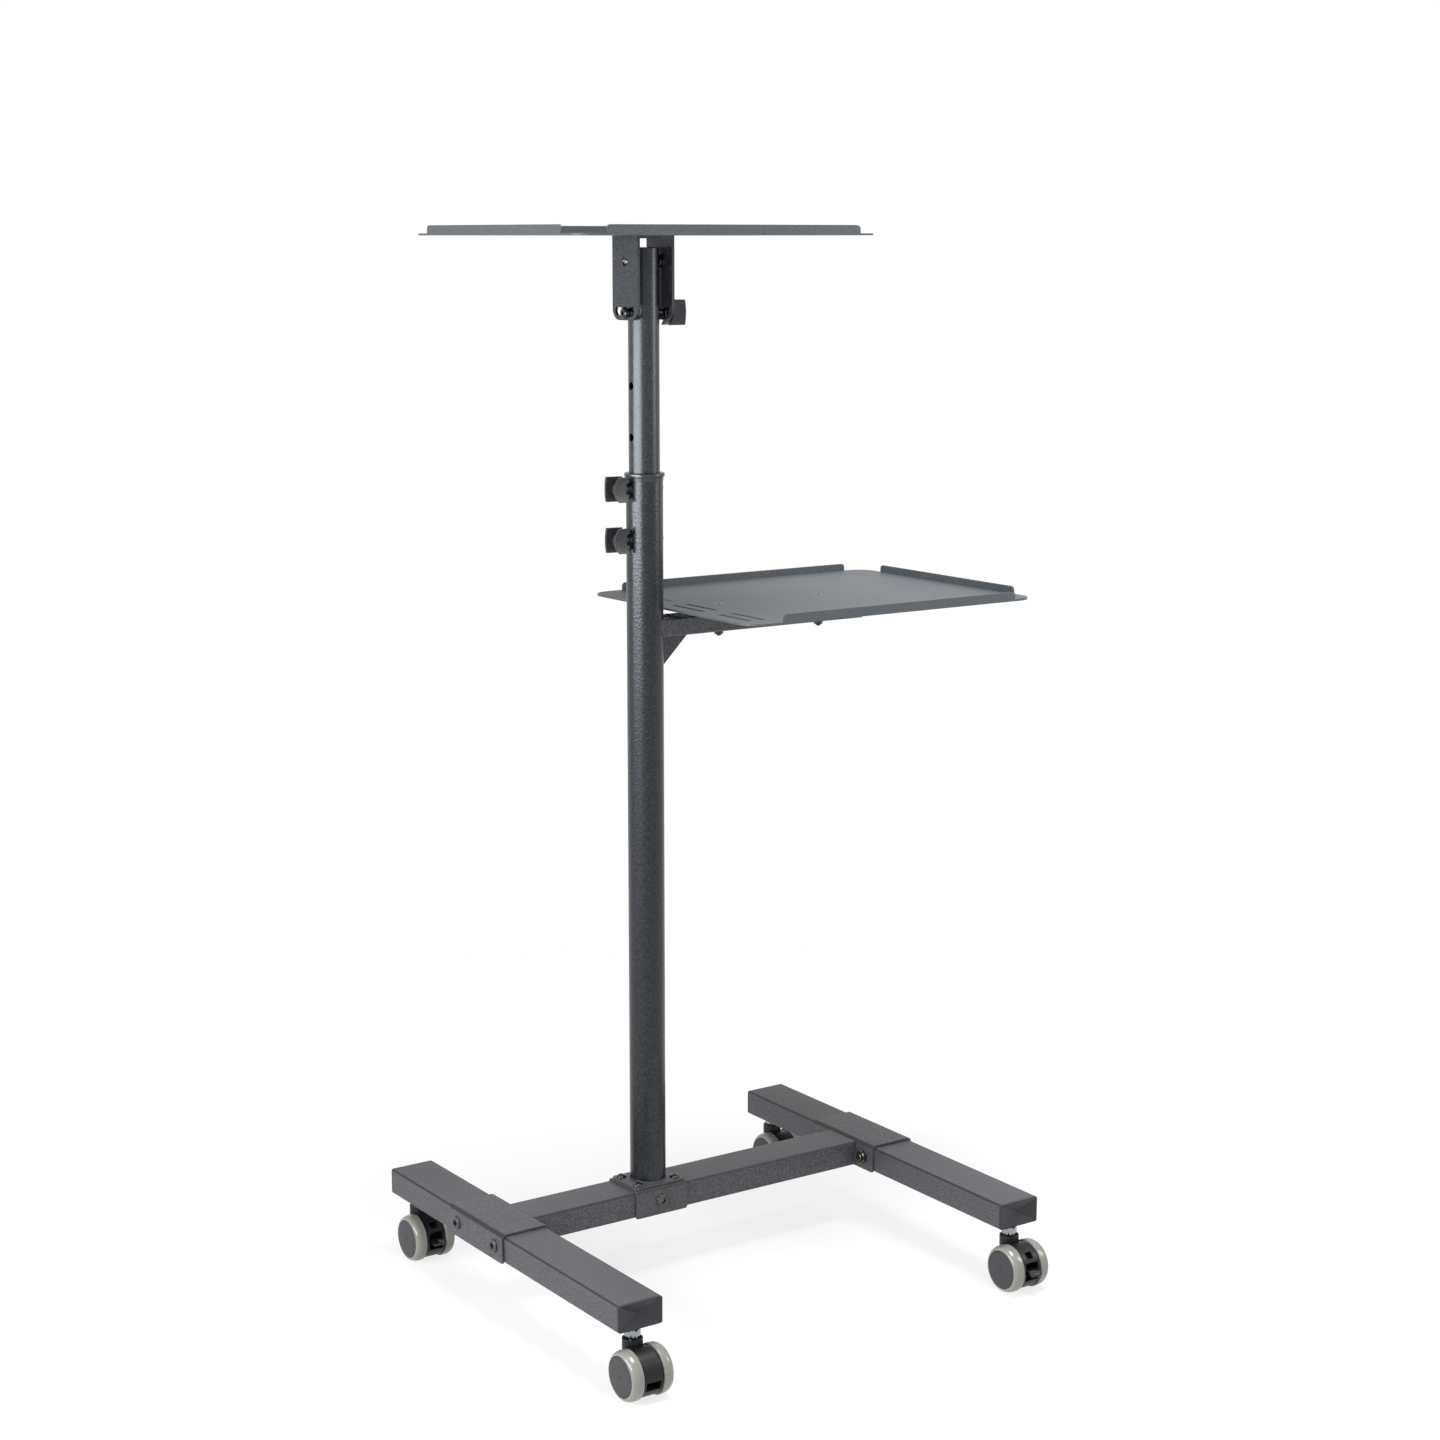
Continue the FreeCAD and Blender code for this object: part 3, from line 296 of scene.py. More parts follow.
def slab(loop, half, edge, point, across, up, steps=4):
    """A plate with rounded rims: the closed loop, drawn in by edge (1 - cos t), lies at the height
    half - edge (1 - sin t) on either side, t running over a quarter turn."""
    turn = np.linspace(0.0, np.pi / 2, steps)
    inset = edge * np.concatenate((1 - np.sin(turn), (1 - np.sin(turn))[::-1]))
    height = half - edge * (1 - np.cos(turn))
    height = np.concatenate((-height, height[::-1]))
    ahead = np.roll(loop, -1, axis=0) - np.roll(loop, 1, axis=0)
    ahead = ahead / np.maximum(np.linalg.norm(ahead, axis=1, keepdims=True), 1e-12)
    inward = np.stack((-ahead[:, 1], ahead[:, 0]), axis=1)
    around = np.sum(loop[:, 0] * np.roll(loop[:, 1], -1) - np.roll(loop[:, 0], -1) * loop[:, 1])
    rings = loop[None] + math.copysign(1.0, around) * inset[:, None, None] * inward[None]
    middle = np.broadcast_to(loop.mean(axis=0), (1,) + loop.shape)
    rings = np.concatenate((middle, rings, middle))
    height = np.concatenate((height[:1], height, height[-1:]))
    across, up = np.asarray(across, float), np.asarray(up, float)
    return (np.asarray(point) + rings[..., :1] * across + rings[..., 1:] * up
            + height[:, None, None] * np.cross(across, up))


def grid_faces(rows, columns, first):
    """Quads of a grid of points that closes round its columns."""
    row, column = np.arange(rows - 1)[:, None], np.arange(columns)[None, :]
    beside = (column + 1) % columns
    quads = np.stack((row * columns + column, row * columns + beside,
                      (row + 1) * columns + beside, (row + 1) * columns + column), axis=-1)
    return quads.reshape(-1, 4) + first


def piece(name, surfaces, body, finish, replaces=(), sharp=32.0):
    """One piece from grids of points: the grids become quads, doubles merge, so that poles and
    seams close, normals turn outward, and edges over the sharp angle stay crisp."""
    points, quads, first = [], [], 0
    for grid in surfaces:
        rows, columns = grid.shape[:2]
        points.append(grid.reshape(-1, 3))
        quads.append(grid_faces(rows, columns, first))
        first += rows * columns
    mesh = bpy.data.meshes.new(name)
    mesh.from_pydata(np.vstack(points).tolist(), [], np.vstack(quads).tolist())
    shell = bmesh.new()
    shell.from_mesh(mesh)
    bmesh.ops.remove_doubles(shell, verts=shell.verts, dist=2e-6)
    bmesh.ops.dissolve_degenerate(shell, edges=shell.edges, dist=1e-7)
    bmesh.ops.recalc_face_normals(shell, faces=shell.faces)
    shell.to_mesh(mesh)
    shell.free()
    mesh.shade_smooth()
    mesh.set_sharp_from_angle(angle=math.radians(sharp))
    mesh.materials.append(material(finish))
    item = bpy.data.objects.new(name, mesh)
    bpy.context.scene.collection.objects.link(item)
    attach(item, body)
    if replaces:
        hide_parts(*replaces)
    return item


# Fasteners, which all stand on a point of a face and look outwards

def socket_head(point, toward, radius, height, flat, depth):
    """A low head with a hexagon socket: a disc whose rim is rounded, and whose top falls through
    six flats to the socket's floor."""
    corner = 1.1547 * flat
    rim = bend(mm((0, -0.3), (radius, -0.3), (radius, height), (corner + 0.3, height)),
               mm(0, 0.2, 0.45 * height, 0))
    well = mm((corner, height - 0.2), (corner, height - depth), (0, height - depth))
    profile = np.vstack((rim, well))
    last = len(profile) - 1
    return turned(profile, point, toward, flat * MILLIMETRE, (last - 2, last - 1))


def sunk_screw(point, toward, radius, shank, length):
    """A countersunk screw level with its face: a cone over a shank, with a hexagon socket."""
    flat = 0.36 * radius
    corner = 1.1547 * flat
    profile = mm((0, -length), (shank, -length), (shank, shank - radius), (radius, -0.15),
                 (radius - 0.15, 0), (corner + 0.15, 0), (corner, -0.15), (corner, -1.3), (0, -1.3))
    return turned(profile, point, toward, flat * MILLIMETRE, (6, 7))


def hexagon_nut(point, toward, flat, height, bore):
    """A nut: a disc cut by six flats, whose rims are cones, and whose bore holds the bolt's tip."""
    corner, cone = 1.1547 * flat, 0.12 * height
    profile = mm((0, -0.3), (flat - 0.3, -0.3), (flat, 0), (corner, cone),
                 (corner, height - cone), (flat, height), (bore + 0.3, height),
                 (bore, height - 0.5), (bore - 0.1, height - 0.5), (bore - 0.1, height + 1.2),
                 (bore - 0.7, height + 1.8), (0, height + 1.8))
    return turned(profile, point, toward, flat * MILLIMETRE, range(1, 6))


def dome_head(point, toward, radius, height, well, depth):
    """A domed screw head: a quarter of an ellipse turned about its axis, with a round well."""
    turn = np.linspace(0.0, math.acos(well / radius), 12)
    dome = np.stack((radius * np.cos(turn), height * np.sin(turn)), axis=1)
    floor = dome[-1, 1] - depth
    profile = np.vstack(((0, -0.2), (radius, -0.2), dome, (0.9 * well, floor), (0, floor)))
    return turned(profile * MILLIMETRE, point, toward)


# Shader node groups

def node(tree, kind, at, given=None, **values):
    """A shader node at a place of the editor, with its plain settings and its sockets' values."""
    made = tree.nodes.new(kind)
    made.location = at
    for name, value in values.items():
        setattr(made, name, value)
    for socket, value in (given or {}).items():
        made.inputs[socket].default_value = value
    return made


def effect(name, inputs, outputs):
    """A new shader node group with its sockets, and its two end nodes."""
    tree = bpy.data.node_groups.new(name, "ShaderNodeTree")
    for label, kind, default in inputs:
        socket = tree.interface.new_socket(name=label, in_out="INPUT", socket_type=kind)
        if default is not None:
            socket.default_value = default
    for label, kind in outputs:
        tree.interface.new_socket(name=label, in_out="OUTPUT", socket_type=kind)
    return tree, node(tree, "NodeGroupInput", (-900, 0)), node(tree, "NodeGroupOutput", (600, 0))


def grain_effect():
    """Grain of a powder coat or a moulding: round cells of the given width lift the surface and
    lighten it a little, broad noise makes both tone and gloss uneven."""
    tree, given, out = effect("Coat Grain", (
        ("Colour", "NodeSocketColor", (0.05, 0.05, 0.05, 1.0)),
        ("Grain Width", "NodeSocketFloat", 0.001), ("Grain Depth", "NodeSocketFloat", 0.0001),
        ("Fleck", "NodeSocketFloat", 0.3), ("Roughness", "NodeSocketFloat", 0.5),
        ("Unevenness", "NodeSocketFloat", 0.1)), (
        ("Colour", "NodeSocketColor"), ("Roughness", "NodeSocketFloat"),
        ("Normal", "NodeSocketVector")))
    place = node(tree, "ShaderNodeTexCoord", (-900, 300))
    per_metre = node(tree, "ShaderNodeMath", (-700, 200), {0: 1.0}, operation="DIVIDE")
    cells = node(tree, "ShaderNodeTexVoronoi", (-500, 300), {"Smoothness": 0.6},
                 feature="SMOOTH_F1")
    fine = node(tree, "ShaderNodeTexNoise", (-500, 0), {"Detail": 2.0})
    broad = node(tree, "ShaderNodeTexNoise", (-500, -300), {"Scale": 14.0, "Detail": 3.0})
    both = node(tree, "ShaderNodeMath", (-300, 200), operation="ADD")
    bump = node(tree, "ShaderNodeBump", (100, -200), {"Strength": 1.0})
    tone = node(tree, "ShaderNodeMapRange", (-300, 0),
                {"From Min": 0.35, "From Max": 0.7, "To Min": -0.5, "To Max": 0.5})
    fleck = node(tree, "ShaderNodeMath", (-100, 0), {2: 1.0}, operation="MULTIPLY_ADD")
    patch = node(tree, "ShaderNodeMapRange", (-300, -300), {"To Min": -0.5, "To Max": 0.5})
    uneven = node(tree, "ShaderNodeMath", (-100, -300), {2: 1.0}, operation="MULTIPLY_ADD")
    strength = node(tree, "ShaderNodeMath", (100, 0), operation="MULTIPLY")
    shade = node(tree, "ShaderNodeVectorMath", (300, 100), operation="SCALE")
    gloss = node(tree, "ShaderNodeMath", (300, -100), operation="MULTIPLY", use_clamp=True)
    link = tree.links.new
    link(given.outputs["Grain Width"], per_metre.inputs[1])
    for texture in (cells, fine):
        link(place.outputs["Object"], texture.inputs["Vector"])
        link(per_metre.outputs[0], texture.inputs["Scale"])
    link(place.outputs["Object"], broad.inputs["Vector"])
    link(cells.outputs["Distance"], both.inputs[0])
    link(fine.outputs["Fac"], both.inputs[1])
    link(both.outputs[0], bump.inputs["Height"])
    link(given.outputs["Grain Depth"], bump.inputs["Distance"])
    link(fine.outputs["Fac"], tone.inputs["Value"])
    link(tone.outputs[0], fleck.inputs[0])
    link(given.outputs["Fleck"], fleck.inputs[1])
    link(broad.outputs["Fac"], patch.inputs["Value"])
    link(patch.outputs[0], uneven.inputs[0])
    link(given.outputs["Unevenness"], uneven.inputs[1])
    link(fleck.outputs[0], strength.inputs[0])
    link(uneven.outputs[0], strength.inputs[1])
    link(given.outputs["Colour"], shade.inputs[0])
    link(strength.outputs[0], shade.inputs["Scale"])
    link(given.outputs["Roughness"], gloss.inputs[0])
    link(uneven.outputs[0], gloss.inputs[1])
    link(shade.outputs[0], out.inputs["Colour"])
    link(gloss.outputs[0], out.inputs["Roughness"])
    link(bump.outputs["Normal"], out.inputs["Normal"])


def coated(name, base, width, depth, fleck, roughness, unevenness, further):
    """A material of the Coat Grain group with its own values; further ones go on the shader."""
    material = bpy.data.materials.new(name + "_finish")
    material.use_nodes = True
    tree = material.node_tree
    shader = tree.nodes["Principled BSDF"]
    grain = node(tree, "ShaderNodeGroup", (-300, 100), {
        "Colour": (*base, 1.0), "Grain Width": width, "Grain Depth": depth, "Fleck": fleck,
        "Roughness": roughness, "Unevenness": unevenness},
        node_tree=bpy.data.node_groups["Coat Grain"])
    tree.links.new(grain.outputs["Colour"], shader.inputs["Base Color"])
    tree.links.new(grain.outputs["Roughness"], shader.inputs["Roughness"])
    tree.links.new(grain.outputs["Normal"], shader.inputs["Normal"])
    for label, value in further.items():
        shader.inputs[label].default_value = value
    material.diffuse_color = (*base, 1.0)


def folded(material):
    """Paint shade into a coat along the folds of its sheet, a dark reflection painted into its colour, between a
    grain group and the shader.
    """
    tree = material.node_tree
    shader = tree.nodes["Principled BSDF"]
    source = shader.inputs["Base Color"].links[0].from_socket
    fold = node(tree, "ShaderNodeGroup", (-120, 300), {"Strength": finish_of().fold_shade},
                node_tree=bpy.data.node_groups["Fold Tone"])
    tree.links.new(source, fold.inputs["Colour"])
    tree.links.new(fold.outputs["Colour"], shader.inputs["Base Color"])


def fold_shade_effect():
    """Painted shade: a darker line along upper folds, a dark reflection painted into the colour. With z the upward
    part of the surface's direction, the mask is a soft step of 2 z sqrt(1 - z^2), which is 1 where
    the surface leans by half a right angle."""
    tree, given, out = effect("Fold Tone", (
        ("Colour", "NodeSocketColor", (0.05, 0.05, 0.05, 1.0)),
        ("Strength", "NodeSocketFloat", 0.5)), (("Colour", "NodeSocketColor"),))
    place = node(tree, "ShaderNodeTexCoord", (-900, 300))
    parts = node(tree, "ShaderNodeSeparateXYZ", (-700, 300))
    upward = node(tree, "ShaderNodeMath", (-500, 300), {1: 0.0}, operation="MAXIMUM")
    angle = node(tree, "ShaderNodeMath", (-300, 300), operation="ARCSINE")
    double = node(tree, "ShaderNodeMath", (-100, 300), {1: 2.0}, operation="MULTIPLY")
    lean = node(tree, "ShaderNodeMath", (100, 300), operation="SINE")
    line = node(tree, "ShaderNodeMapRange", (300, 300), {"From Min": 0.3, "From Max": 0.7},
                interpolation_type="SMOOTHSTEP")
    part = node(tree, "ShaderNodeMath", (300, 100), operation="MULTIPLY")
    keep = node(tree, "ShaderNodeMath", (450, 100), {0: 1.0}, operation="SUBTRACT")
    shade = node(tree, "ShaderNodeVectorMath", (450, -100), operation="SCALE")
    link = tree.links.new
    link(place.outputs["Normal"], parts.inputs[0])
    link(parts.outputs["Z"], upward.inputs[0])
    link(upward.outputs[0], angle.inputs[0])
    link(angle.outputs[0], double.inputs[0])
    link(double.outputs[0], lean.inputs[0])
    link(lean.outputs[0], line.inputs["Value"])
    link(line.outputs[0], part.inputs[0])
    link(given.outputs["Strength"], part.inputs[1])
    link(part.outputs[0], keep.inputs[1])
    link(given.outputs["Colour"], shade.inputs[0])
    link(keep.outputs[0], shade.inputs["Scale"])
    link(shade.outputs[0], out.inputs["Colour"])


def material(name):
    """A finish by its short name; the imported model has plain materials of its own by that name."""
    return bpy.data.materials[name + "_finish"]


class CART_OT_finishes(bpy.types.Operator):
    """Make the shader node groups and the finishes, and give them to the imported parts"""

    bl_idname = "cart.finishes"
    bl_label = "Finishes"

    def execute(self, context):
        finish = finish_of()
        grain_effect()
        fold_shade_effect()
        for name, setting, width, depth, *values, further in FINISHES:
            coated(name, getattr(finish, setting), width * finish.grain,
                   depth * finish.grain_depth, *values, further)
        # Painted shade: a dark reflection painted along the frame coat's folds
        folded(material("frame_coat"))
        for entry in frame["record"]["subparts"]:
            item = frame["nodes"][entry["node"]]
            item.data.materials.clear()
            item.data.materials.append(material(FINER.get(entry["node"], entry["material_slot"])))
        return {"FINISHED"}


class CART_OT_wheels(bpy.types.Operator):
    """Make the twin wheels of each caster: rounded tyres and nearly flush discs"""

    bl_idname = "cart.wheels"
    bl_label = "Wheels"

    def execute(self, context):
        for label in CORNERS:
            centre = PLACES[label + "_roll"]
            low, high = box_of("tyres_" + label)
            inner, radius = (high[0] - low[0]) / 2 - 14 * MILLIMETRE, (high[2] - low[2]) / 2
            outer, bore = inner + sizes_of().tyre_width, radius - sizes_of().tyre_depth
            self.tyres(label, centre, bore, radius, inner, outer)
            self.discs(label, centre, bore, inner, outer)
        return {"FINISHED"}

    def tyres(self, label, centre, bore, radius, inner, outer):
        """Two rings: a flat tread whose shoulder is a quarter of an ellipse down to the disc, with
        r = bore + d cos t and x = outer - s (1 - sin t)."""
        fine, shoulder = 0.5 * MILLIMETRE, sizes_of().tyre_round
        turn = np.linspace(0.0, np.pi / 2, 14)
        curve = np.stack((bore + (radius - bore) * np.cos(turn),
                          outer - shoulder * (1 - np.sin(turn))), axis=1)
        edge = bend(((bore, inner), (radius, inner), curve[0]), (0, fine, 0))
        ring = np.vstack((edge, curve[1:], ((bore, outer - 3 * MILLIMETRE),)))
        piece("wheel_tyres_" + label, [turned(ring, centre, way * X_AXIS) for way in (-1, 1)],
              "wheels_" + label, "tyre_rubber", ("tyres_" + label,))

    def discs(self, label, centre, bore, inner, outer):
        """Two discs on one axle: a half profile from a small pip out to the shadow gap at the tyre,
        mirrored about the middle of the axle."""
        gap, axle = sizes_of().hub_gap, 3 * MILLIMETRE
        face, step = outer - 0.2 * gap, 0.25 * MILLIMETRE
        half = bend(((axle, inner), (bore, inner), (bore, face - 3 * gap),
                     (bore - gap, face - 3 * gap), (bore - gap, face), (3 * axle, face + step),
                     (0.5 * axle, face + step),
                     (0.4 * axle, face - step), (0, face - step)),
                    (0, 0, 0, 0, 2 * step, step, 0, 0, 0), steps=4)
        profile = np.vstack((half[::-1] * (1, -1), half))
        piece("wheel_discs_" + label, [turned(profile, centre, X_AXIS)], "wheels_" + label,
              "hub_plastic", ("hubs_" + label,))


class CART_OT_hoods(bpy.types.Operator):
    """Make the caster hoods with their openings and necks, and the brake pedals"""

    bl_idname = "cart.hoods"
    bl_label = "Hoods and brakes"

    def execute(self, context):
        for label in CORNERS:
            piece("hood_shell_" + label, [self.band(label), self.neck(label)], "caster_" + label,
                  "hood_plastic", ("hood_" + label,))
        for label in BRAKED:
            self.pedal(label)
        return {"FINISHED"}

    def windows(self, label):
        """The openings of a hood: two angles, half a width, and the radius of the floor."""
        if label in BRAKED:
            return ((-24.3, 24.3, 8.2, 12.0), (34.3, 53.3, 4.2, 18.0))
        return ((-28.3, -5.3, 8.2, 14.0),)

    def band(self, label):
        """The band between the wheels: a section of width x and radius r with rounded rims is
        carried round the axle at angle t. Its radius is the lesser of R and h / -sin t, which is
        the flat over the floor, and drops to a floor where a window lies between two angles and two
        widths."""
        centre = PLACES[label + "_roll"]
        low, high = box_of("hood_" + label)
        half, radius = (high[0] - low[0]) / 2, centre[1] - low[1]
        drop, axle, brim = centre[2] - low[2], 3.2 * MILLIMETRE, sizes_of().edge
        side = bend(((-half, axle), (-half, radius), (half, radius), (half, axle)),
                    (0, brim, brim, 0))
        inside = mm(-8.3, -8.1, -6.9, -6.7, -4.3, -4.1, 0.0, 4.1, 4.3, 6.7, 6.9, 8.1, 8.3)
        rim = np.stack((inside, np.full(len(inside), radius)), axis=1)
        cut = len(side) // 2
        section = np.vstack((side[:cut], rim, side[cut:]))
        breaks = (-58.0, -28.5, -28.1, -24.5, -24.1, -5.5, -5.1, 24.1, 24.5, 34.1, 34.5, 53.1, 53.5)
        angle = np.unique(np.concatenate((np.arange(-90.0, 270.0, 4.0), breaks)))
        angle = np.radians(np.append(angle, 270.0))[:, None]
        reach = np.minimum(radius, drop / np.maximum(-np.sin(angle), 1e-6))
        share = ((section[:, 1] - axle) / (radius - axle))[None, :]
        across = np.broadcast_to(section[:, 0], (len(angle), len(section)))
        spread = axle + share * (reach - axle)
        for first, last, width, floor in self.windows(label):
            sunk = (np.abs(across) < width * MILLIMETRE) & (share > 0.99)
            sunk = sunk & (angle > math.radians(first)) & (angle < math.radians(last))
            spread = np.where(sunk, floor * MILLIMETRE, spread)
        return np.stack((centre[0] + across, centre[1] - spread * np.cos(angle),
                         centre[2] + spread * np.sin(angle)), axis=-1)

    def neck(self, label):
        """The neck that turns on the stem, with a raised rim round a shallow cup."""
        top = PLACES[label + "_swivel"]
        radius = (box_of("hood_" + label)[1][1] - top[1]) / MILLIMETRE
        cup = bend(mm((4.6, -30), (radius - 2, -30), (radius, -26), (radius, 0),
                      (radius - 1.5, 0), (radius - 2.2, -1.8), (4.6, -1.8)),
                   mm(0, 0.5, 1, 0.9, 0.5, 0.5, 0), closed=True)
        return turned(cup, top, Z_AXIS)

    def pedal(self, label):
        """A brake pedal: a wedge with facets above and below, bent about its pin."""
        pin = PLACES[label + "_brake"]
        low, high = box_of("brake_" + label)
        loop = bend(mm((-2.8, -2.0), (-2.8, 2.0), (0.6, 3.3), (8.0, 2.6), (14.4, 0.3),
                       (14.9, -2.4), (9.0, -3.3), (1.6, -3.3)),
                    mm(1.6, 1.6, 0.6, 0.6, 0.8, 0.8, 0.6, 0.9), closed=True)
        plate = slab(loop, 6.9 * MILLIMETRE, 0.7 * MILLIMETRE, pin, -Y_AXIS, Z_AXIS)
        half = (high[0] - low[0]) / 2 / MILLIMETRE
        rod = turned(mm((0, -half), (1.5, -half), (1.5, half), (0, half)), pin, X_AXIS, count=24)
        piece("brake_pedal_" + label, [plate, rod], "pedal_" + label,
              "pedal_plastic", ("brake_" + label,))


def tube_box(name):
    """The box of a flat tube of the base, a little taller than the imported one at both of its
    faces."""
    low, high = box_of(name)
    return low - sizes_of().tube_drop * Z_AXIS, high + sizes_of().tube_rise * Z_AXIS


class CART_OT_tubes(bpy.types.Operator):
    """Make the flat tubes of the base with crisp folds: two legs and the beam between them"""

    bl_idname = "cart.tubes"
    bl_label = "Legs and beam"

    def execute(self, context):
        for name, across, along in (("leg_left", X_AXIS, Y_AXIS), ("leg_right", X_AXIS, Y_AXIS),
                                    ("cross_beam", Y_AXIS, X_AXIS)):
            piece("flat_tube_" + name, [self.tube(name, across, along)], "base",
                  "frame_coat", (name,))
        return {"FINISHED"}

    def tube(self, name, across, along):
        """A rectangle with rounded corners, carried straight from one end to the other. At each end
        it turns in by the wall and back along the bore, which is closed a little way down."""
        low, high = tube_box(name)
        half, middle = (high - low) / 2, (low + high) / 2
        wide, tall, long = half @ across, half[2], half @ along
        loop = rectangle(wide, tall, sizes_of().tube_fold)
        bore = loop * (1 - TUBE_WALL / np.array((wide, tall)))
        rings = np.stack((0 * loop, bore, bore, loop, loop, bore, bore, 0 * loop))
        floor = long - BORE_DEPTH
        run = np.array((-floor, -floor, -long, -long, long, long, floor, floor))[:, None, None]
        return middle + rings[..., :1] * across + rings[..., 1:] * Z_AXIS + run * along


class CART_OT_caps(bpy.types.Operator):
    """Make the caps in the legs' ends, each with a shallow sunken pyramid"""

    bl_idname = "cart.caps"
    bl_label = "Leg caps"

    def execute(self, context):
        for side in ("left", "right"):
            low, high = tube_box("leg_caps_" + side)
            leg_low, leg_high = tube_box("leg_" + side)
            caps = []
            for end, leg_end, way in ((low[1], leg_low[1], -1), (high[1], leg_high[1], 1)):
                caps.append(self.cap(low, high, end, leg_end, way))
            piece("leg_end_caps_" + side, caps, "base", "cap_plastic",
                  ("leg_caps_" + side,), sharp=4.0)
        return {"FINISHED"}

    def cap(self, low, high, end, leg_end, way):
        """A cap: behind it a plug in the leg's bore, then its outline, a rectangle with rounded
        corners, which is drawn in at the rim by a quarter turn and runs down straight lines to the
        pyramid's point inside the leg's end."""
        wide, tall = (high[0] - low[0]) / 2, (high[2] - low[2]) / 2
        middle = np.array(((low[0] + high[0]) / 2, 0.0, (low[2] + high[2]) / 2))
        loop = rectangle(wide, tall, sizes_of().tube_fold)
        rim, brim, deep = 0.6 * MILLIMETRE, 1.3 * MILLIMETRE, sizes_of().cap_depth
        turn = np.linspace(0.0, np.pi / 2, 4)
        plug, back = 2.2 * MILLIMETRE, end - way * (deep + 1.5 * MILLIMETRE)
        inset = np.concatenate(((plug, plug, 0.0), rim * (1 - np.cos(turn)), (brim,)))
        out = np.concatenate(((back, leg_end, leg_end), end - way * rim * (1 - np.sin(turn)),
                              (end,)))
        scale = 1 - inset[:, None] / np.array((wide, tall))
        rings = loop[None] * scale[:, None]
        inner = np.clip(loop, (-wide + brim, -tall + brim), (wide - brim, tall - brim))
        point = np.zeros_like(loop)
        rings = np.concatenate((point[None], rings[:-1], inner[None], point[None]))
        out = np.concatenate(((back,), out, (end - way * deep,)))
        run = np.repeat(out[:, None], len(loop), axis=1)
        return middle + np.stack((rings[..., 0], run, rings[..., 1]), axis=-1)


class CART_OT_clasps(bpy.types.Operator):
    """Make the sleeves over the legs and the saddle over the beam, folded from sheet"""

    bl_idname = "cart.clasps"
    bl_label = "Sleeves and saddle"

    def execute(self, context):
        for name, across, along in (("sleeve_left", X_AXIS, Y_AXIS),
                                    ("sleeve_right", X_AXIS, Y_AXIS), ("saddle", Y_AXIS, X_AXIS)):
            piece("folded_" + name, [self.wrap(name, across, along)], "base",
                  "frame_coat", (name,))
        return {"FINISHED"}

    def wrap(self, name, across, along):
        """A sheet folded over a tube: a flat section is carried up one flap, over the top and down
        the other. At distance d from a flap's end, within r of it, the section's half length loses
        r - sqrt(r^2 - (r - d)^2), which rounds the flap's corners."""
        low, high = tube_box(name)
        low = np.array((low[0], low[1], tube_box("leg_left")[0][2] - sizes_of().clasp_drop))
        half, middle = (high - low) / 2, (high + low) / 2 * (1, 1, 0)
        sheet, corner = sizes_of().clasp_sheet, sizes_of().clasp_corner
        edge, long, top = half @ across - sheet / 2, half @ along, high[2] - sheet / 2
        rise = corner * (1 - np.cos(np.linspace(0.0, np.pi / 2, 5)[:-1]))
        flap = np.stack((np.full(len(rise), -edge), low[2] + rise), axis=1)
        over = bend(((-edge, low[2] + corner), (-edge, top), (edge, top), (edge, low[2] + corner)),
                    sizes_of().clasp_fold, steps=7)
        path = np.vstack((flap, over, (flap * (-1, 1))[::-1]))
        ahead = np.gradient(path, axis=0)
        ahead = ahead / np.linalg.norm(ahead, axis=1, keepdims=True)
        out = np.stack((-ahead[:, 1], ahead[:, 0]), axis=1)
        loop = rectangle(long, sheet / 2, 0.5 * MILLIMETRE)
        short = corner - np.minimum(path[:, 1] - low[2], corner)
        loss = corner - np.sqrt(corner ** 2 - short ** 2)
        run = loop[None, :, 0] - np.sign(loop[None, :, 0]) * loss[:, None]
        flat = path[:, None] + loop[None, :, 1:] * out[:, None]
        return closed_ends(middle + flat[..., :1] * across + flat[..., 1:] * Z_AXIS
                           + run[..., None] * along)


